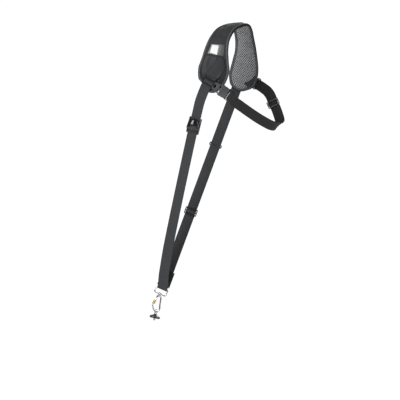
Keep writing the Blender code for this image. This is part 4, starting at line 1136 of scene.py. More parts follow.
def make_panel(name, node, rows, material, thick, rise, columns, steps, root=PANEL_ROOT):
    """A sewn panel with thin edges; its root sinks into the padding under it.

    Without a node it is webbing that only this script has. Returns the panel with the length
    of its top edge and of its middle line.
    """
    rings, wides = [], []
    for i in range(steps + 1):
        down = i / steps
        upper, lower = [], []
        for j in range(columns + 1):
            right = j / columns
            place, out = panel_point(rows, down, right, rise)
            rim = j in (0, columns) or i in (0, steps)
            upper.append(place + out * thick * (PANEL_RIM if rim else 1.0))
            lower.append(place - out * (root + rise(down, right) * 0.8))
        rings.append(upper + lower[::-1])
        wide = lengths(upper)
        wides.append(wide + wide[::-1] + wide[:1])
    far = lengths([ring[columns // 2] for ring in rings])
    mesh = skin(rings, lambda row, column: (wides[row][column], far[row]))
    panel = finish_piece(name, mesh, material)
    if node:
        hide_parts(node)
    return panel, wides[0][columns], far[-1]


FLAP_FULL = 0.0024
FLAP_HOLLOW = 0.0034
FLAP_CREASE = 0.0010


def flap_rise(down, right):
    """The flap's lift over the padding, with a deep hollow under the label and a crease beside it."""
    full = math.sin(math.pi * right) ** 0.5 * math.sin(math.pi * min(down * 1.15 + 0.02, 1.0)) ** 0.5
    hollow = math.exp(-(((right - 0.27) / 0.20) ** 2 + ((down - 0.26) / 0.20) ** 2))
    line = (right - 0.66 + 0.58 * down) / 0.045
    crease = math.exp(-line ** 2) * math.sin(math.pi * min(down + 0.05, 1.0))
    lift = PANEL_GAP + flap_lift(down, right) + FLAP_FULL * full
    return lift - FLAP_HOLLOW * hollow * full + FLAP_CREASE * crease


# Layers of webbing in the open corner; each row gives its share down the flap and its width.
SLIT_STEPS = 4
SLIT_WIDTH = 0.055
SLIT_FILL = 0.8
SLIT_LEFT = 0.010
SLIT_LEAN = 0.004
SLIT_HEIGHT = 0.0030
SLIT_FALL = 0.0007
SLIT_THICK = 0.0009
SLIT_ROWS = ((0.50, 0.3), (0.64, 1.0), (0.78, 1.0), (0.93, 0.5))


def make_slit(material):
    """Webbing layers that show as steps in the open corner between the flap and the edge tape."""
    for i in range(SLIT_STEPS):
        rows = []
        for share, wide in SLIT_ROWS:
            at = share * (len(FLAP_ROWS) - 1)
            x, z = (through(FLAP_ROWS, key, at) for key in ("right_x", "right_z"))
            left = x - SLIT_LEFT + SLIT_WIDTH * wide * i / SLIT_STEPS
            rows.append((left, z, left + SLIT_WIDTH * wide * SLIT_FILL / SLIT_STEPS, z - SLIT_LEAN))
        height = SLIT_HEIGHT - SLIT_FALL * i
        make_panel(f"slit_layer_{i + 1}", None, table(PANEL_KEYS, *rows), material, SLIT_THICK,
                   lambda down, right: height, 6, 12)


# Rows of the pad between which the corner patch lies, its reach inwards, and where it is widest
PATCH_FROM = 13.45
PATCH_TO = 15.20
PATCH_DEPTH = 0.021
PATCH_EDGE = 0.0015
PATCH_WIDEST = 0.62


def make_corner_patch(material):
    """A dark three-cornered patch on the lining, behind the sewn end of the underarm strap."""
    rings = []
    for share in spread(0.0, 1.0, 20):
        position = PATCH_FROM + (PATCH_TO - PATCH_FROM) * share
        half = pad_half(position)
        outer = half - BIND_LAP * 0.6
        peak = min(share / PATCH_WIDEST, (1.0 - share) / (1.0 - PATCH_WIDEST))
        wide = PATCH_EDGE + PATCH_DEPTH * peak
        sides = spread(outer, outer - wide, 8)
        depth = [lining_depth(position, side, half) for side in sides]
        over = [pad_point(position, side, -deep - PANEL_THICK) for side, deep in zip(sides, depth)]
        root = [pad_point(position, side, -deep + PANEL_THICK) for side, deep in zip(sides, depth)]
        rings.append(over + root[::-1])
    mesh = skin(rings, lambda row, column: (0.0012 * column, 0.003 * row))
    patch = finish_piece("corner_patch", mesh, material)


def make_panels(webbing):
    label = Finish("label cloth", (0.205, 0.207, 0.212), 0.6, Specular_IOR_Level=0.3)
    across, along = label.chart()
    weave = label.group(WEAVE, Across=across, Along=along, Rib=0.0008, Row=0.0005)
    wear = label.group(WEAR, Place=label.object_place, Patch=45.0, Fine=1500.0)
    # The label is lighter at its left end and darker towards its right end; the gaps of its weave get
    # painted shade.
    rightward_darkening = calc(label.tree, "MINIMUM", calc(label.tree, "DIVIDE", across, 0.034), 1.0)
    mask = calc(label.tree, "MULTIPLY_ADD", weave["Gap"], 0.12, rightward_darkening)
    label.blend_colour(mask, (0.300, 0.302, 0.308), (0.085, 0.086, 0.090))
    label.rough(wear["Grain"], 0.1)
    label.relief(weave["Height"], 0.0001)
    white = woven_finish("label patch cloth", (0.70, 0.70, 0.69), 0.55, rib=0.0006, row=0.0005,
                         depth=0.00006)
    stretch = woven_finish("stretch cloth", (0.026, 0.027, 0.029), 0.55, rib=0.0006, row=0.0006,
                           depth=0.00006, Sheen_Weight=0.08)
    flap_rows = [dict(row, left_x=row["left_x"] - near) for row, near in zip(FLAP_ROWS, FLAP_NEARER)]
    band = make_panel("label_cloth", "label_band", LABEL_ROWS, label.material, PANEL_THICK,
                      lambda down, right: PANEL_GAP, 20, 16)
    square = make_panel("label_square", "label_patch", PATCH_ROWS, white, PANEL_THICK,
                        lambda down, right: PANEL_GAP + PANEL_THICK * 0.7, 10, 12, root=0.0)
    flap = make_panel("stretch_flap", "pad_flap", flap_rows, stretch, FLAP_THICK, flap_rise, 56, 60)
    make_slit(webbing)
    make_corner_patch(stretch)


# Webbing


def ribbon_profile():
    """Across shares and heights of woven tape with slightly full edges, round its section."""
    half, rise = WEB_WIDTH / 2, WEB_THICK / 2
    top = [(-1.0, 0.0), (-0.985, 0.7), (-0.95, 1.0), (-0.86, 1.0), (-0.80, 0.90), (-0.4, 0.92), (0.0, 0.92)]
    top += [(-x, z) for x, z in reversed(top[:-1])]
    ring = top + [(x, -z) for x, z in reversed(top[1:-1])]
    return [(x * half, z * rise) for x, z in ring]


def make_ribbon(name, node, stations, material):
    profile = ribbon_profile()
    rings = [[centre + across * x + out * z for x, z in profile] for centre, across, out in stations]
    far = lengths([centre for centre, across, out in stations])
    wide = [x for x, z in profile] + [profile[0][0]]
    mesh = skin(rings, lambda row, column: (wide[column], far[row]))
    ribbon = finish_piece(name, mesh, material)
    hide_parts(node)


PAST_RING = 0.012
BEFORE_LOOP = 0.004


def main_stations():
    """The main strap: down the front, round the ring, up the rear, round the loop and back."""
    unit = run_length()
    fine = BAR_PITCH / BAR_STEPS / unit
    reach = BAR_PITCH / unit
    frame_at = -BUCKLE_UP / unit
    values = fine_spread(-LEAD_LENGTH / unit, FRONT_ROWS[-1]["at"], RUN_PACE, frame_at, reach, fine)
    stations = woven(front_run, values, RUN_STEP, frame_at, 1 / unit, 1)
    along = ring_axes()[0]
    stations += fold(ring_top(), along, Vector((0, -1, 0)), bend_radius(RING_WIRE), 1, steps=14)
    values = fine_spread(PAST_RING, LOOP_SHARE - BEFORE_LOOP, RUN_PACE, SLIDER_SHARE, reach, fine)
    stations += woven(rear_run, values, RUN_STEP, SLIDER_SHARE, 1 / unit, -1)
    bar, _, across, out = loop_bar(rear_run, LOOP_SHARE, RUN_STEP)
    stations += fold(bar, across, -out, bend_radius(LOOP_WIRE), -1)
    return stations + returning(rear_run, LOOP_SHARE, SLIDER_SHARE, RUN_STEP, 60)


TAIL_STEPS = 16
TAB_PACE = 0.003


def tab_stations(run, share, step, per_metre, length, tail):
    """From the sewn tail round the loop's upper bar and up to the pad."""
    bar, along, across, out = loop_bar(run, share, step)
    bar = bar + along * LOOP_GAP
    radius = bend_radius(LOOP_WIRE)
    first = share + LOOP_GAP * per_metre
    near = WEB_THICK + 2 * FIT
    stations = []
    for i in range(TAIL_STEPS):
        place = (TAIL_STEPS - i) / TAIL_STEPS
        centre, _, wide, up = run_station(run, first + tail * per_metre * place, step)
        lift = near + (2 * radius - near) * (1 - smooth_step(place * 1.5))
        stations.append((centre + up * lift, wide, -up))
    stations += fold(bar, across, out, radius, -1)
    count = max(8, round(length / TAB_PACE))
    for i in range(1, count + 1):
        centre, _, wide, up = run_station(run, first + length * per_metre * i / count, step)
        stations.append((centre, wide, up))
    return stations


PAST_LAST_ROW = 0.1


def underarm_loop_at():
    """Where the underarm strap folds round its loop, just past its last row."""
    return len(UNDERARM_ROWS) - 1 + PAST_LAST_ROW


def underarm_stations():
    """The underarm strap: round the buckle's end bar, round the side, round its loop and back."""
    place = buckle_place()
    right, up, out = (place.to_3x3() @ Vector(axis) for axis in ((1, 0, 0), (0, 1, 0), (0, 0, 1)))
    bar = place @ Vector((end_bar_x(), 0, 0))
    radius = math.hypot(END_BAR / 2, TAIL_THICK / 2) + FIT + WEB_THICK / 2
    stations = [(bar + right * (radius * k) - out * radius, up, -out) for k in (2.0, 1.5, 1.0, 0.5)]
    stations += fold(bar, up, -out, radius, 1, steps=16)
    last = len(UNDERARM_ROWS) - 1
    per_metre = underarm_per_metre()
    reach = BAR_PITCH * per_metre
    values = fine_spread(0.0, last, ARM_PACE, UNDERARM_SLIDER, reach, reach / BAR_STEPS)
    stations += woven(underarm_run, values, ARM_STEP, UNDERARM_SLIDER, per_metre, -1)
    bar, _, across, out = loop_bar(underarm_run, underarm_loop_at(), ARM_STEP)
    stations += fold(bar, across, -out, bend_radius(LOOP_WIRE), -1)
    return stations + returning(underarm_run, last, UNDERARM_SLIDER, ARM_STEP, 40, UNDERARM_BULGE)


def webbing_finish(name, colour, roughness, sheen):
    return woven_finish(name, colour, roughness, rib=0.0016, row=0.0011, depth=0.00022,
                        Sheen_Weight=sheen)


def make_straps(webbing):
    """The four pieces of webbing; returns the stations of those that have box seams."""
    # The underarm strap's webbing is a darker copy of the same webbing finish, as painted shade.
    dark = webbing_finish("shaded webbing", (0.015, 0.015, 0.016), 0.62, 0.05)
    unit = 1 / run_length()
    main = main_stations()
    make_ribbon("main_strap", "main_webbing", main, webbing)
    tab_length = (1 - LOOP_SHARE) * run_length() + REAR_LEAD
    rear = tab_stations(rear_run, LOOP_SHARE, RUN_STEP, unit, tab_length, FOLD_TAIL)
    make_ribbon("rear_strap", "rear_tab", rear, webbing)
    last = len(UNDERARM_ROWS) - 1
    make_ribbon("underarm_strap", "underarm_webbing", underarm_stations(), dark)
    per_metre = 1 / (underarm_run(last)[0] - underarm_run(last - 1)[0]).length
    short = tab_stations(underarm_run, underarm_loop_at(), ARM_STEP, per_metre, TAB_LENGTH,
                         FOLD_TAIL / 3)
    make_ribbon("underarm_end", "underarm_tab", short, dark)
    return main, rear, short


# Stitches


THREAD = moulded_finish("sewing thread", (0.060, 0.061, 0.064), 0.6, grain=2500.0, depth=0.00005)


def sew(name, tracks, pitch=0.0030, size=0.0020, girth=0.0004):
    """Short stitches along tracks; a track is a list of (point, outward) pairs."""
    mesh = bmesh.new()
    for track in tracks:
        points = [point for point, out in track]
        far = lengths(points)
        count = max(1, round(far[-1] / pitch))
        i = 0
        for k in range(count):
            at = far[-1] * (k + 0.5) / count
            while i < len(far) - 2 and far[i + 1] < at:
                i += 1
            share = (at - far[i]) / max(far[i + 1] - far[i], 1e-9)
            along = (points[i + 1] - points[i]).normalized()
            out = track[i][1].lerp(track[i + 1][1], share).normalized()
            side = along.cross(out).normalized()
            place = frame_matrix(points[i].lerp(points[i + 1], share), side, along, side.cross(along))
            shape = Matrix.Diagonal((girth, size / 2, girth * 0.75, 1.0))
            bmesh.ops.create_icosphere(mesh, subdivisions=1, radius=1.0, matrix=place @ shape)
    bmesh.ops.recalc_face_normals(mesh, faces=mesh.faces)
    finish_piece(name, mesh, THREAD)


SEAM_INSET = 0.0030
SEAM_RISE = WEB_THICK / 2


def box_seam(station_list, first, last, cross=True):
    """Tracks of a box seam, with its cross, on a strap between two of its stations."""
    def spot(share_along, side):
        at = first + (last - first) * share_along
        i = min(int(at), len(station_list) - 2)
        part = at - i
        (c0, a0, o0), (c1, a1, o1) = station_list[i], station_list[i + 1]
        across, out = a0.lerp(a1, part).normalized(), o0.lerp(o1, part).normalized()
        return c0.lerp(c1, part) + across * side + out * SEAM_RISE, out

    wide = WEB_WIDTH / 2 - SEAM_INSET
    steps = spread(0.0, 1.0, 10)
    tracks = [
        [spot(share, -wide) for share in steps],
        [spot(share, wide) for share in steps],
        [spot(0.0, wide * (2 * share - 1)) for share in steps],
        [spot(1.0, wide * (2 * share - 1)) for share in steps],
    ]
    if cross:
        tracks.append([spot(share, wide * (2 * share - 1)) for share in steps])
        tracks.append([spot(share, wide * (1 - 2 * share)) for share in steps])
    return tracks


THREAD_LIFT = 0.00005
TAPE_INSET = 0.0012


def make_stitches(main, rear, short):
    """Stitches along the edge tape on both faces, over and under the label, and of the box seams."""
    last = len(PAD_ROWS) - 1.0
    positions = spread(0.35, last - 0.35, 150)
    inset = BIND_LAP - TAPE_INSET
    tracks = [pad_track(positions, side * inset, rise)
              for rise in (BIND_TOP + BIND_LIFT + THREAD_LIFT, BIND_FOOT - BIND_LIFT - THREAD_LIFT)
              for side in (-1, 1)]
    sew("tape_stitches", tracks, pitch=0.0034, size=0.0023, girth=0.00035)
    tracks = [[panel_point(LABEL_ROWS, down, right, lambda *place: PANEL_GAP + PANEL_THICK * 0.98)
               for right in spread(0.02, 0.98, 12)] for down in (0.07, 0.93)]
    sew("label_stitches", tracks, pitch=0.0026, size=0.0018, girth=0.0003)
    end = len(rear) - 1
    tracks = box_seam(rear, 1, 13) + box_seam(rear, end - 9, end - 1)
    tracks += box_seam(short, 1, 10, cross=False) + box_seam(main, 1, 5)
    end = len(main) - 1
    tracks += box_seam(main, end - 9, end - 1, cross=False)
    sew("strap_stitches", tracks)


# Hard pieces


def keep(mesh, place):
    """Worked mesh data moved to its place and kept for joining."""
    bmesh.ops.recalc_face_normals(mesh, faces=mesh.faces)
    bmesh.ops.transform(mesh, matrix=place, verts=mesh.verts)
    return mesh_data("part", mesh)


def hard_piece(name, node, mesh, material, angle, body="strap", edge=0.0):
    """A piece with sharp edges above an angle, bevelled by edge where it is given."""
    piece = finish_piece(name, mesh, material, body)
    piece.data.set_sharp_from_angle(angle=math.radians(angle))
    if edge:
        bevel = piece.modifiers.new("edges", "BEVEL")
        bevel.width = edge
        bevel.segments = 2
        bevel.limit_method = "ANGLE"
        bevel.angle_limit = math.radians(40)
    if node:
        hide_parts(node)
    return piece


def join_parts(name, node, parts, material, body="strap", angle=35):
    mesh = bmesh.new()
    for data in parts:
        mesh.from_mesh(data)
        bpy.data.meshes.remove(data)
    hard_piece(name, node, mesh, material, angle, body)


def turned(profile, place, axis="Y", sides=40):
    """A solid turned about a local axis from heights and radii, its two ends closed."""
    mesh = bmesh.new()
    heights = [profile[0][0]] + [height for height, radius in profile] + [profile[-1][0]]
    radii = [0.0] + [radius for height, radius in profile] + [0.0]
    verts = [mesh.verts.new((radius, height, 0.0)) for height, radius in zip(heights, radii)]
    edges = [mesh.edges.new(pair) for pair in zip(verts, verts[1:])]
    bmesh.ops.spin(mesh, geom=verts + edges, axis=(0, 1, 0), cent=(0, 0, 0), steps=sides,
                   angle=2 * math.pi, use_merge=True)
    bmesh.ops.remove_doubles(mesh, verts=mesh.verts, dist=1e-6)
    turns = {"X": Matrix.Rotation(math.radians(-90), 4, "Z"), "Y": Matrix.Identity(4),
             "Z": Matrix.Rotation(math.radians(90), 4, "X")}
    return keep(mesh, place @ turns[axis])


def rounded_rod(low, high, radius, edge):
    """Profile of a rod with rounded ends."""
    steps = [math.radians(90 * i / 4) for i in range(5)]
    start = [(low + edge * (1 - math.sin(a)), radius - edge * (1 - math.cos(a))) for a in reversed(steps)]
    stop = [(high - edge * (1 - math.sin(a)), radius - edge * (1 - math.cos(a))) for a in steps]
    return start + stop


def rod(low, high, radius, edge, place, axis="Y", sides=40):
    return turned(rounded_rod(low, high, radius, edge), place, axis, sides)


WIRE_SIDES = 18
WIRE_CAP = ((0.94, 0.30), (0.70, 0.72), (0.35, 0.94))


def wire(path, radius, place, closed=False):
    """A round wire along a path in the local XY plane; open ends are rounded."""
    flat = Vector((0, 0, 1))
    turns = [2 * math.pi * k / WIRE_SIDES for k in range(WIRE_SIDES)]
    count = len(path)
    stations = []
    for i, point in enumerate(path):
        before = path[i - 1] if closed or i else point
        after = path[(i + 1) % count] if closed or i < count - 1 else point
        along = (after - before).normalized()
        stations.append((point, along, radius))
    if not closed:
        first, last = stations[0], stations[-1]
        head = [(first[0] - first[1] * (radius * far), first[1], radius * size)
                for far, size in WIRE_CAP]
        tail = [(last[0] + last[1] * (radius * far), last[1], radius * size)
                for far, size in reversed(WIRE_CAP)]
        stations = head + stations + tail
    rings = []
    for point, along, size in stations:
        side = along.cross(flat).normalized()
        rings.append([point + side * (size * math.cos(a)) + flat * (size * math.sin(a)) for a in turns])
    return keep(skin(rings, lambda row, column: (column / WIRE_SIDES, row / count), closed), place)


def block(low, high, edge, place, segments=2, taper=None):
    """A block with rounded edges; taper narrows its end at high X, in width and thickness."""
    mesh = bmesh.new()
    low, high = Vector(low), Vector(high)
    matrix = Matrix.Translation((low + high) / 2) @ Matrix.Diagonal((*(high - low), 1))
    bmesh.ops.create_cube(mesh, size=1.0, matrix=matrix)
    if taper:
        far = [vert for vert in mesh.verts if vert.co.x > (low.x + high.x) / 2]
        bmesh.ops.scale(mesh, vec=(1, *taper), verts=far)
    bmesh.ops.bevel(mesh, geom=list(mesh.edges), offset=edge, segments=segments, profile=0.5, affect="EDGES",
                    material=-1)
    return keep(mesh, place)


def smooth_copy(name, node, material, angle=35, edge=0.0):
    """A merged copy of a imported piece, with its flat faces made whole."""
    mesh = bmesh.new()
    mesh.from_mesh(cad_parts[node].data)
    bmesh.ops.remove_doubles(mesh, verts=mesh.verts, dist=1e-6)
    bmesh.ops.dissolve_limit(mesh, angle_limit=math.radians(1.0), verts=mesh.verts, edges=mesh.edges)
    return hard_piece(name, node, mesh, material, angle, edge=edge)


def make_ring(steel):
    """The rectangular ring with the boss that the hook turns in."""
    along, down, out = ring_axes()
    place = frame_matrix(ring_top() + down * (RING_PITCH / 2), along, down, out)
    half_width = WEB_WIDTH / 2 + LOOSE + RING_WIRE / 2
    join_parts("metal_ring", "strap_ring", [
        wire(rounded_loop(half_width, RING_PITCH / 2, RING_WIRE), RING_WIRE / 2, place, closed=True),
        rod(-FIT - BOSS_HEIGHT, -FIT, BOSS_RADIUS, 0.0009, hook_place()),
    ], steel)


HOOK_STEPS = 6
LUG_SIDES = 28


def make_hook(steel):
    """The hook's bent wire, its post through the boss with a head on top, and the gate's lug."""
    hook = hook_place()
    path = []
    for i in range(HOOK_STEPS * (len(HOOK_ROWS) - 1) + 1):
        path.append(hook_point({key: through(HOOK_ROWS, key, i / HOOK_STEPS) for key in ("right", "down")}))
    clear = [point for point in path if (point - path[0]).length > LUG_CLEAR]
    head_low = -BOSS_HEIGHT - 2 * FIT
    dome = [(head_low - POST_HEAD_HEIGHT * share, POST_HEAD * math.sqrt(max(0.04, 1 - share ** 2)))
            for share in (1.0, 0.9, 0.7, 0.4, 0.0)]
    join_parts("spring_hook", "hook_body", [
        wire(clear, HOOK_WIRE / 2, hook),
        rod(0, HOOK_TOP + HOOK_WIRE / 3, SHOULDER_RADIUS, 0.0006, hook),
        rod(-BOSS_HEIGHT - 3 * FIT, HOOK_TOP, POST_RADIUS, 0.0002, hook),
        turned(dome, hook),
        rod(-LUG_THICK / 2, LUG_THICK / 2, LUG_RADIUS, 0.0003, gate_place(), "Z", LUG_SIDES),
    ], steel, "hook")


GATE_EAR = 1.15
EAR_WIDTH = 0.85
RIVET_EDGE = 0.0003
SLEEVE_RIDGES = 6
RIDGE = 0.0003


def make_gate(steel, pin_steel, brass):
    """The gate with two ears beside the hook's lug, its rivet, and the ridged sleeve on it."""
    gate = gate_place()
    radius = GATE_WIRE / 2
    gap = LUG_THICK / 2 + FIT
    wide = radius * GATE_EAR
    start = LUG_RADIUS + 2 * FIT
    parts = [rod(start, GATE_LENGTH, radius, radius * 0.6, gate)]
    for side in (-1, 1):
        low, high = sorted((side * gap, side * wide))
        parts.append(rod(low, high, LUG_RADIUS, 0.0002, gate, "Z", LUG_SIDES))
        parts.append(block((-radius * EAR_WIDTH, 0, low), (radius * EAR_WIDTH, start + radius * 0.5, high),
                           0.0002, gate))
    join_parts("sprung_gate", "hook_gate", parts, steel, "gate")

    reach = wide + FIT
    rivet = [(-reach, GATE_PIN * 0.4), (-reach + RIVET_EDGE, GATE_PIN / 2),
             (reach - RIVET_EDGE, GATE_PIN / 2), (reach, GATE_PIN * 0.4)]
    join_parts("gate_rivet", "gate_pin", [turned(rivet, gate, "Z", 20)], pin_steel, "hook")

    outer = GATE_WIRE / 2 + SLEEVE_WALL
    profile = [(SLEEVE_START, outer * 0.86), (SLEEVE_START + 0.0005, outer)]
    for i in range(SLEEVE_RIDGES):
        at = SLEEVE_START + SLEEVE_LENGTH * (0.30 + 0.08 * i)
        profile += [(at - RIDGE, outer), (at, outer - RIDGE), (at + RIDGE, outer)]
    end = SLEEVE_START + SLEEVE_LENGTH
    profile += [(end - 0.0005, outer), (end, outer * 0.86)]
    join_parts("locking_sleeve", "lock_sleeve", [turned(profile, gate)], brass, "sleeve", 50)


EYE_TURNS = 36
CONE_SIDES = 64
THREAD_PITCH = 0.00127


def make_fastener(steel, coated, rubber):
    """The eye that hangs in the hook, with the cone, washer and threaded stud under it."""
    place = eye_place()
    centre_radius = EYE_INSIDE / 2 + EYE_WIRE / 2
    circle = [Matrix.Rotation(math.radians(360 // EYE_TURNS * i), 3, "Z") @ Vector((centre_radius, 0, 0))
              for i in range(EYE_TURNS)]
    eye_low = centre_radius + EYE_WIRE / 2
    base_top = eye_low + STEM_LENGTH
    base_end = base_top + BASE_HEIGHT
    join_parts("fastener_ring", "fastener_eye", [
        wire(circle, EYE_WIRE / 2, place, closed=True),
        rod(eye_low - EYE_WIRE * 0.7, base_top + BASE_HEIGHT * 0.5, STEM_RADIUS, 0.0004, place),
    ], steel, "hook")

    skirt_top = base_top + BASE_HEIGHT * 0.62
    profile = [
        (base_top, STEM_RADIUS * 1.15), (base_top + 0.0002, STEM_RADIUS * 1.32),
        (base_top + BASE_HEIGHT * 0.20, STEM_RADIUS * 1.6),
        (base_top + BASE_HEIGHT * 0.40, BASE_RADIUS * 0.62),
        (skirt_top, BASE_RADIUS * 0.93), (skirt_top + 0.0004, BASE_RADIUS * 0.98),
        (skirt_top + 0.0010, BASE_RADIUS), (base_end - 0.0006, BASE_RADIUS),
        (base_end, BASE_RADIUS * 0.97),
    ]
    join_parts("fastener_cone", "fastener_base", [turned(profile, place, sides=CONE_SIDES)], coated,
               "hook", 28)

    washer_low = base_end + FIT
    washer_end = washer_low + WASHER_THICK
    washer = rod(washer_low - FIT, washer_end, BASE_RADIUS * 0.92, 0.0005, place, sides=CONE_SIDES)
    join_parts("rubber_washer", "fastener_washer", [washer], rubber, "hook", 40)

    stud_end = washer_end + STUD_LENGTH
    profile = [(base_end, STUD_RADIUS * 0.85)]
    for i in range(int((stud_end - washer_low - WASHER_THICK) / THREAD_PITCH)):
        at = washer_end + THREAD_PITCH * (i + 0.3)
        profile += [(at - THREAD_PITCH * 0.3, STUD_RADIUS * 0.86), (at, STUD_RADIUS),
                    (at + THREAD_PITCH * 0.2, STUD_RADIUS)]
    profile.append((stud_end, STUD_RADIUS * 0.7))
    join_parts("threaded_stud", "fastener_stud", [turned(profile, place)], steel,
               "hook", 20)


def make_loops(black):
    """The two loops, each with a thin bar between its folds, and the two sliders."""
    half_width = WEB_WIDTH / 2 + LOOSE + LOOP_WIRE / 2
    spare = (LOOP_GAP / 2 - bend_radius(LOOP_WIRE) - WEB_THICK / 2) * 0.9
    for name, node, run, share, pace in (
        ("upper_loop", "adjuster_loop", rear_run, LOOP_SHARE, RUN_STEP),
        ("arm_loop", "underarm_loop", underarm_run, underarm_loop_at(), ARM_STEP),
    ):
        bar, along, across, out = loop_bar(run, share, pace)
        place = frame_matrix(bar + along * (LOOP_GAP / 2), across, -along, out)
        path = rounded_loop(half_width, LOOP_GAP / 2, LOOP_WIRE)
        middle = block((-half_width, -spare, -LOOP_WIRE / 2), (half_width, spare, LOOP_WIRE / 2),
                       spare * 0.4, place)
        ring = wire(path, LOOP_WIRE / 2, place, closed=True)
        join_parts(name, node, [ring, middle], black)
    smooth_copy("back_slider", "strap_slider", black, edge=0.0003)
    smooth_copy("arm_slider", "underarm_slider", black, edge=0.0003)


PLATE_SHORT = 0.0012
CHEEK_CORNER = 0.0022


def make_channel(name, node, place, black):
    """The lock's channel: a plate under the webbing and a cheek on each side, on the solid's outline."""
    pin_y, pin_z = cam_pin_place()
    inner = WEB_WIDTH / 2 + LOOSE
    floor = -WEB_THICK / 2 - CAM_GAP
    low = floor - CAM_PLATE
    rim = CAM_WALL_RIM
    diagonal = rim * math.sqrt(0.5)
    outline = [
        (-CAM_HALF_LENGTH, low), (-CAM_HALF_LENGTH, pin_z * 0.55), (-CAM_HALF_LENGTH / 2, pin_z * 0.95),
        (pin_y - 2 * rim, pin_z + rim * 0.9), (pin_y, pin_z + rim), (pin_y + diagonal, pin_z + diagonal),
        (pin_y + rim, pin_z * 0.75), (CAM_HALF_LENGTH, pin_z * 0.55), (CAM_HALF_LENGTH, low),
    ]
    parts = [block((-inner - CAM_WALL / 2, -CAM_HALF_LENGTH + PLATE_SHORT, low),
                   (inner + CAM_WALL / 2, CAM_HALF_LENGTH - PLATE_SHORT, floor), 0.0006, place)]
    for side in (-1, 1):
        mesh = bmesh.new()
        start, stop = sorted((side * inner, side * (inner + CAM_WALL)))
        corners = [mesh.verts.new((start, y, z)) for y, z in outline]
        mesh.faces.new(corners)
        ends = corners[:2] + corners[-2:]
        bmesh.ops.bevel(mesh, geom=ends, offset=CHEEK_CORNER, segments=4, profile=0.5,
                        affect="VERTICES", material=-1)
        made = bmesh.ops.extrude_face_region(mesh, geom=list(mesh.faces))
        moved = [item for item in made["geom"] if isinstance(item, bmesh.types.BMVert)]
        bmesh.ops.translate(mesh, vec=(stop - start, 0, 0), verts=moved)
        bmesh.ops.recalc_face_normals(mesh, faces=mesh.faces)
        rims = [edge for edge in mesh.edges
                if edge.is_manifold and edge.calc_face_angle(0.0) > math.radians(60)]
        bmesh.ops.bevel(mesh, geom=rims, offset=0.0005, segments=2, profile=0.5, affect="EDGES",
                        material=-1)
        parts.append(keep(mesh, place))
    join_parts(name, node, parts, black, angle=40)


LOCK_STEP = 0.01
LEVER_NECK = [0.3, 0.65, 1.0, 1.2, 1.4, 1.6, 1.8, 2.0]
LEVER_COLUMNS = 22
LEVER_ROW_STEPS = 5
GROOVE_AT = 1.6
GROOVE_DEPTH = 0.0005


def make_cam_lock(end, run, share, black, gloss, pin_steel):
    """One lock: its channel, its pin, and the domed lever plate with the knuckle it turns on.

    The plate's rows are counted in LEVER_ROWS; below row 2 its width is even between rows.
    """
    pin_y, pin_z = cam_pin_place()
    place = hardware_place(run, share, LOCK_STEP, upside=True)
    make_channel(f"lock_channel_{end}", f"cam_body_{end}", place, black)
    pivot = place @ Matrix.Translation((0, pin_y, pin_z))
    reach = WEB_WIDTH / 2 + LOOSE + CAM_WALL + FIT
    pin = rod(-reach, reach, CAM_PIN / 2, 0.0004, pivot, "X", 24)
    join_parts(f"lock_pin_{end}", f"cam_pin_{end}", [pin], pin_steel)
    under = CAM_WALL_RIM + FIT * 1.5
    rings = []
    last = len(LEVER_ROWS) - 1
    shares = [math.sin(math.pi / 2 * s) for s in spread(-1.0, 1.0, LEVER_COLUMNS)]
    for at in LEVER_NECK + spread(2.0, last, LEVER_ROW_STEPS * (last - 2))[1:]:
        y = CAM_RADIUS - through(LEVER_ROWS, "at", at) * LEVER_LENGTH
        half = through(LEVER_ROWS, "half", at)
        if at < 2:
            row, share = int(at), at - int(at)
            half = LEVER_ROWS[row]["half"] * (1 - share) + LEVER_ROWS[row + 1]["half"] * share
        half *= LEVER_HALF_WIDTH
        dome = through(LEVER_ROWS, "dome", at) * LEVER_DOME
        groove = GROOVE_DEPTH * math.exp(-((at - GROOVE_AT) / 0.25) ** 2)
        upper = [Vector((half * s, y, under + LEVER_EDGE * (0.55 + 0.45 * (1 - abs(s) ** 6))
                         + (dome - groove) * (1 - abs(s) ** 2.4))) for s in shares]
        lower = [Vector((half * s, y, under)) for s in reversed(shares)]
        rings.append(upper + lower)
    plate = keep(skin(rings, lambda row, column: (0.001 * column, 0.001 * row)), pivot)
    half = WEB_WIDTH / 2 + LOOSE - FIT
    knuckle = rod(-half, half, CAM_RADIUS, 0.0003, pivot, "X", 36)
    join_parts(f"lock_lever_{end}", f"cam_lever_{end}", [plate, knuckle], gloss,
               f"{end}_lever", 45)


BLACK_SHORT = 0.0002
SOCKET_TAPER = (0.90, 1.0)
SHELL_LAP = 0.0012
BRIDGE_LAP = 0.001
RAIL_SHARE = 1.2
TAIL_RIBS = 2
RIB_PITCH = 0.0021
RIB_WIDTH = 0.0012


def make_fork(black, grey):
    """The buckle's frame, black where the webbing is threaded through it, with the grey prongs."""
    fork = smooth_copy("buckle_fork", "buckle_frame", grey, angle=28)
    fork.data.materials.append(black)
    back = buckle_place().inverted()
    for face in fork.data.polygons:
        face.material_index = 1 if (back @ face.center).x < frame_edge() - BLACK_SHORT else 0


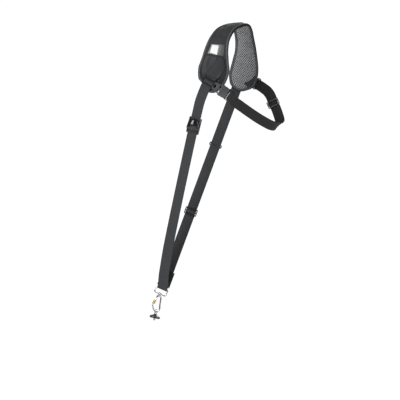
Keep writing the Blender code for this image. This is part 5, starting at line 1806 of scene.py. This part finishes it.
def make_socket(grey):
    """The buckle's socket: two broad shells over the prongs, with side walls and an end wall."""
    place = buckle_place()
    x = socket_x()
    end = x + SOCKET_LENGTH
    half = SOCKET_HALF_WIDTH
    top = SOCKET_THICK / 2
    inner = MALE_THICK / 2 + FIT
    wall = inner + SHELL_LAP
    window_end = x + PRONG_START + PRONG_LENGTH + FIT
    parts = []
    for low, high in ((inner, top), (-top, -inner)):
        parts.append(block((x, -half, low), (end + 0.0010, half, high), 0.0011, place, 3, SOCKET_TAPER))
    for side in (-1, 1):
        low, high = sorted((side * half, side * (half - SOCKET_WALL)))
        parts.append(block((x, low, -wall), (x + PRONG_START - FIT, high, wall), 0.0004, place))
        parts.append(block((window_end, low, -wall), (end, high, wall), 0.0004, place, 2, SOCKET_TAPER))
    parts.append(block((end - SOCKET_WALL, -half * 0.86, -inner - BRIDGE_LAP),
                       (end, half * 0.86, inner + BRIDGE_LAP), 0.0003, place))
    join_parts("buckle_socket_body", "buckle_socket", parts, grey, angle=40)


def make_socket_tail(black):
    """The socket's flat end with the slot for the underarm strap and two ribs; a piece of its own."""
    place = buckle_place()
    end = socket_x() + SOCKET_LENGTH
    tail_end = end + SOCKET_TAIL
    half = SOCKET_HALF_WIDTH
    thick = TAIL_THICK / 2
    slot_end = tail_end - END_BAR
    rail = (LOOSE + FIT) * RAIL_SHARE
    parts = [
        block((end - 0.0008, -half * 0.95, -thick), (slot_end - SLOT_LENGTH, half * 0.95, thick),
              0.0006, place),
        block((slot_end, -half, -thick), (tail_end, half, thick), 0.0008, place, 3),
    ]
    for side in (-1, 1):
        low, high = sorted((side * half, side * (half - rail)))
        parts.append(block((end, low, -thick), (tail_end - 0.0008, high, thick), 0.0004, place))
    for i in range(TAIL_RIBS):
        at = end + 0.0006 + RIB_PITCH * i
        parts.append(block((at, -half * 0.90, thick - 0.0006), (at + RIB_WIDTH, half * 0.90, thick + 0.0007),
                           0.0004, place))
    join_parts("buckle_socket_tail", None, parts, black, angle=40)


def make_hardware():
    black = moulded_finish("black moulding", (0.008, 0.008, 0.009), 0.30)
    gloss = moulded_finish("glossy lever", (0.006, 0.006, 0.007), 0.14, depth=0.00001)
    grey = moulded_finish("grey buckle moulding", (0.060, 0.061, 0.064), 0.26)
    steel = metal_finish("polished steel", (0.52, 0.525, 0.535), 0.10)
    pin_steel = metal_finish("pin steel", (0.45, 0.45, 0.46), 0.32)
    brass = metal_finish("brass", (0.56, 0.43, 0.21), 0.20)
    coated = moulded_finish("coated base", (0.030, 0.030, 0.032), 0.32)
    rubber = moulded_finish("washer rubber", (0.015, 0.015, 0.016), 0.78, grain=1500.0, depth=0.00006)
    make_ring(steel)
    make_hook(steel)
    make_gate(steel, pin_steel, brass)
    make_fastener(steel, coated, rubber)
    make_loops(black)
    make_cam_lock("front", front_run, CAM_FRONT_SHARE, black, gloss, pin_steel)
    make_cam_lock("rear", rear_run, CAM_REAR_SHARE, black, gloss, pin_steel)
    make_fork(black, grey)
    make_socket(grey)
    make_socket_tail(black)


# Studio


# The view lies as the photograph does: flat, from the front, and 1 m across.
VIEW_CENTRE = Vector((-0.095, 0.0, -0.4365))
VIEW_SIZE = 1.0
VIEW_BACK = 4.0
FLOOR_DEPTH = -0.95


def add_light(name, place, size, power):
    """A soft light turned to the middle of the view."""
    data = bpy.data.lights.new(name, "AREA")
    data.shape = "RECTANGLE"
    data.size, data.size_y = size
    data.energy = power
    light = bpy.data.objects.new(name, data)
    bpy.context.scene.collection.objects.link(light)
    light.location = place
    light.rotation_euler = (VIEW_CENTRE - Vector(place)).to_track_quat("-Z", "Y").to_euler()


def set_studio():
    scene = bpy.context.scene
    scene.view_settings.view_transform = "Standard"
    mesh = bmesh.new()
    bmesh.ops.create_grid(mesh, x_segments=1, y_segments=1, size=6.0,
                          matrix=Matrix.Translation((VIEW_CENTRE.x, 0, FLOOR_DEPTH)))
    data = mesh_data("pale_floor", mesh)
    floor = bpy.data.objects.new("pale_floor", data)
    scene.collection.objects.link(floor)
    paint = Finish("pale floor paint", (0.9, 0.9, 0.9), 0.8)
    paint.shader.inputs["Base Color"].default_value = (0.90, 0.90, 0.90, 1.0)
    paint.shader.inputs["Roughness"].default_value = 0.8
    paint.shader.inputs["Emission Color"].default_value = (1.0, 1.0, 1.0, 1.0)
    paint.shader.inputs["Emission Strength"].default_value = 0.40
    data.materials.append(paint.material)
    world = bpy.data.worlds.new("studio")
    scene.world = world
    world.use_nodes = True
    tree = world.node_tree
    seen = tree.nodes.new("ShaderNodeLightPath").outputs["Is Camera Ray"]
    back = tree.nodes["Background"]
    back.inputs["Color"].default_value = (1.0, 1.0, 1.0, 1.0)
    tree.links.new(calc(tree, "MULTIPLY_ADD", seen, 0.88, 0.16), back.inputs["Strength"])
    add_light("left softbox", (-1.5, -1.6, 0.7), (0.9, 1.6), 52)
    add_light("right softbox", (1.7, -1.2, 0.2), (0.4, 1.8), 12)
    add_light("back softbox", (0.6, 1.8, 0.9), (1.2, 1.2), 26)


def set_camera():
    data = bpy.data.cameras.new("photo_camera")
    data.type = "ORTHO"
    data.ortho_scale = VIEW_SIZE
    camera = bpy.data.objects.new("photo_camera", data)
    bpy.context.scene.collection.objects.link(camera)
    camera.location = VIEW_CENTRE - Vector((0, VIEW_BACK, 0))
    camera.rotation_euler = (math.radians(90), 0, 0)
    data.clip_end = 20.0
    bpy.context.scene.camera = camera


def main():
    set_camera()
    make_pad()
    make_binding()
    webbing = webbing_finish("nylon webbing", (0.033, 0.034, 0.036), 0.68, 0.06)
    make_panels(webbing)
    straps = make_straps(webbing)
    make_stitches(*straps)
    make_hardware()
    set_studio()


main()
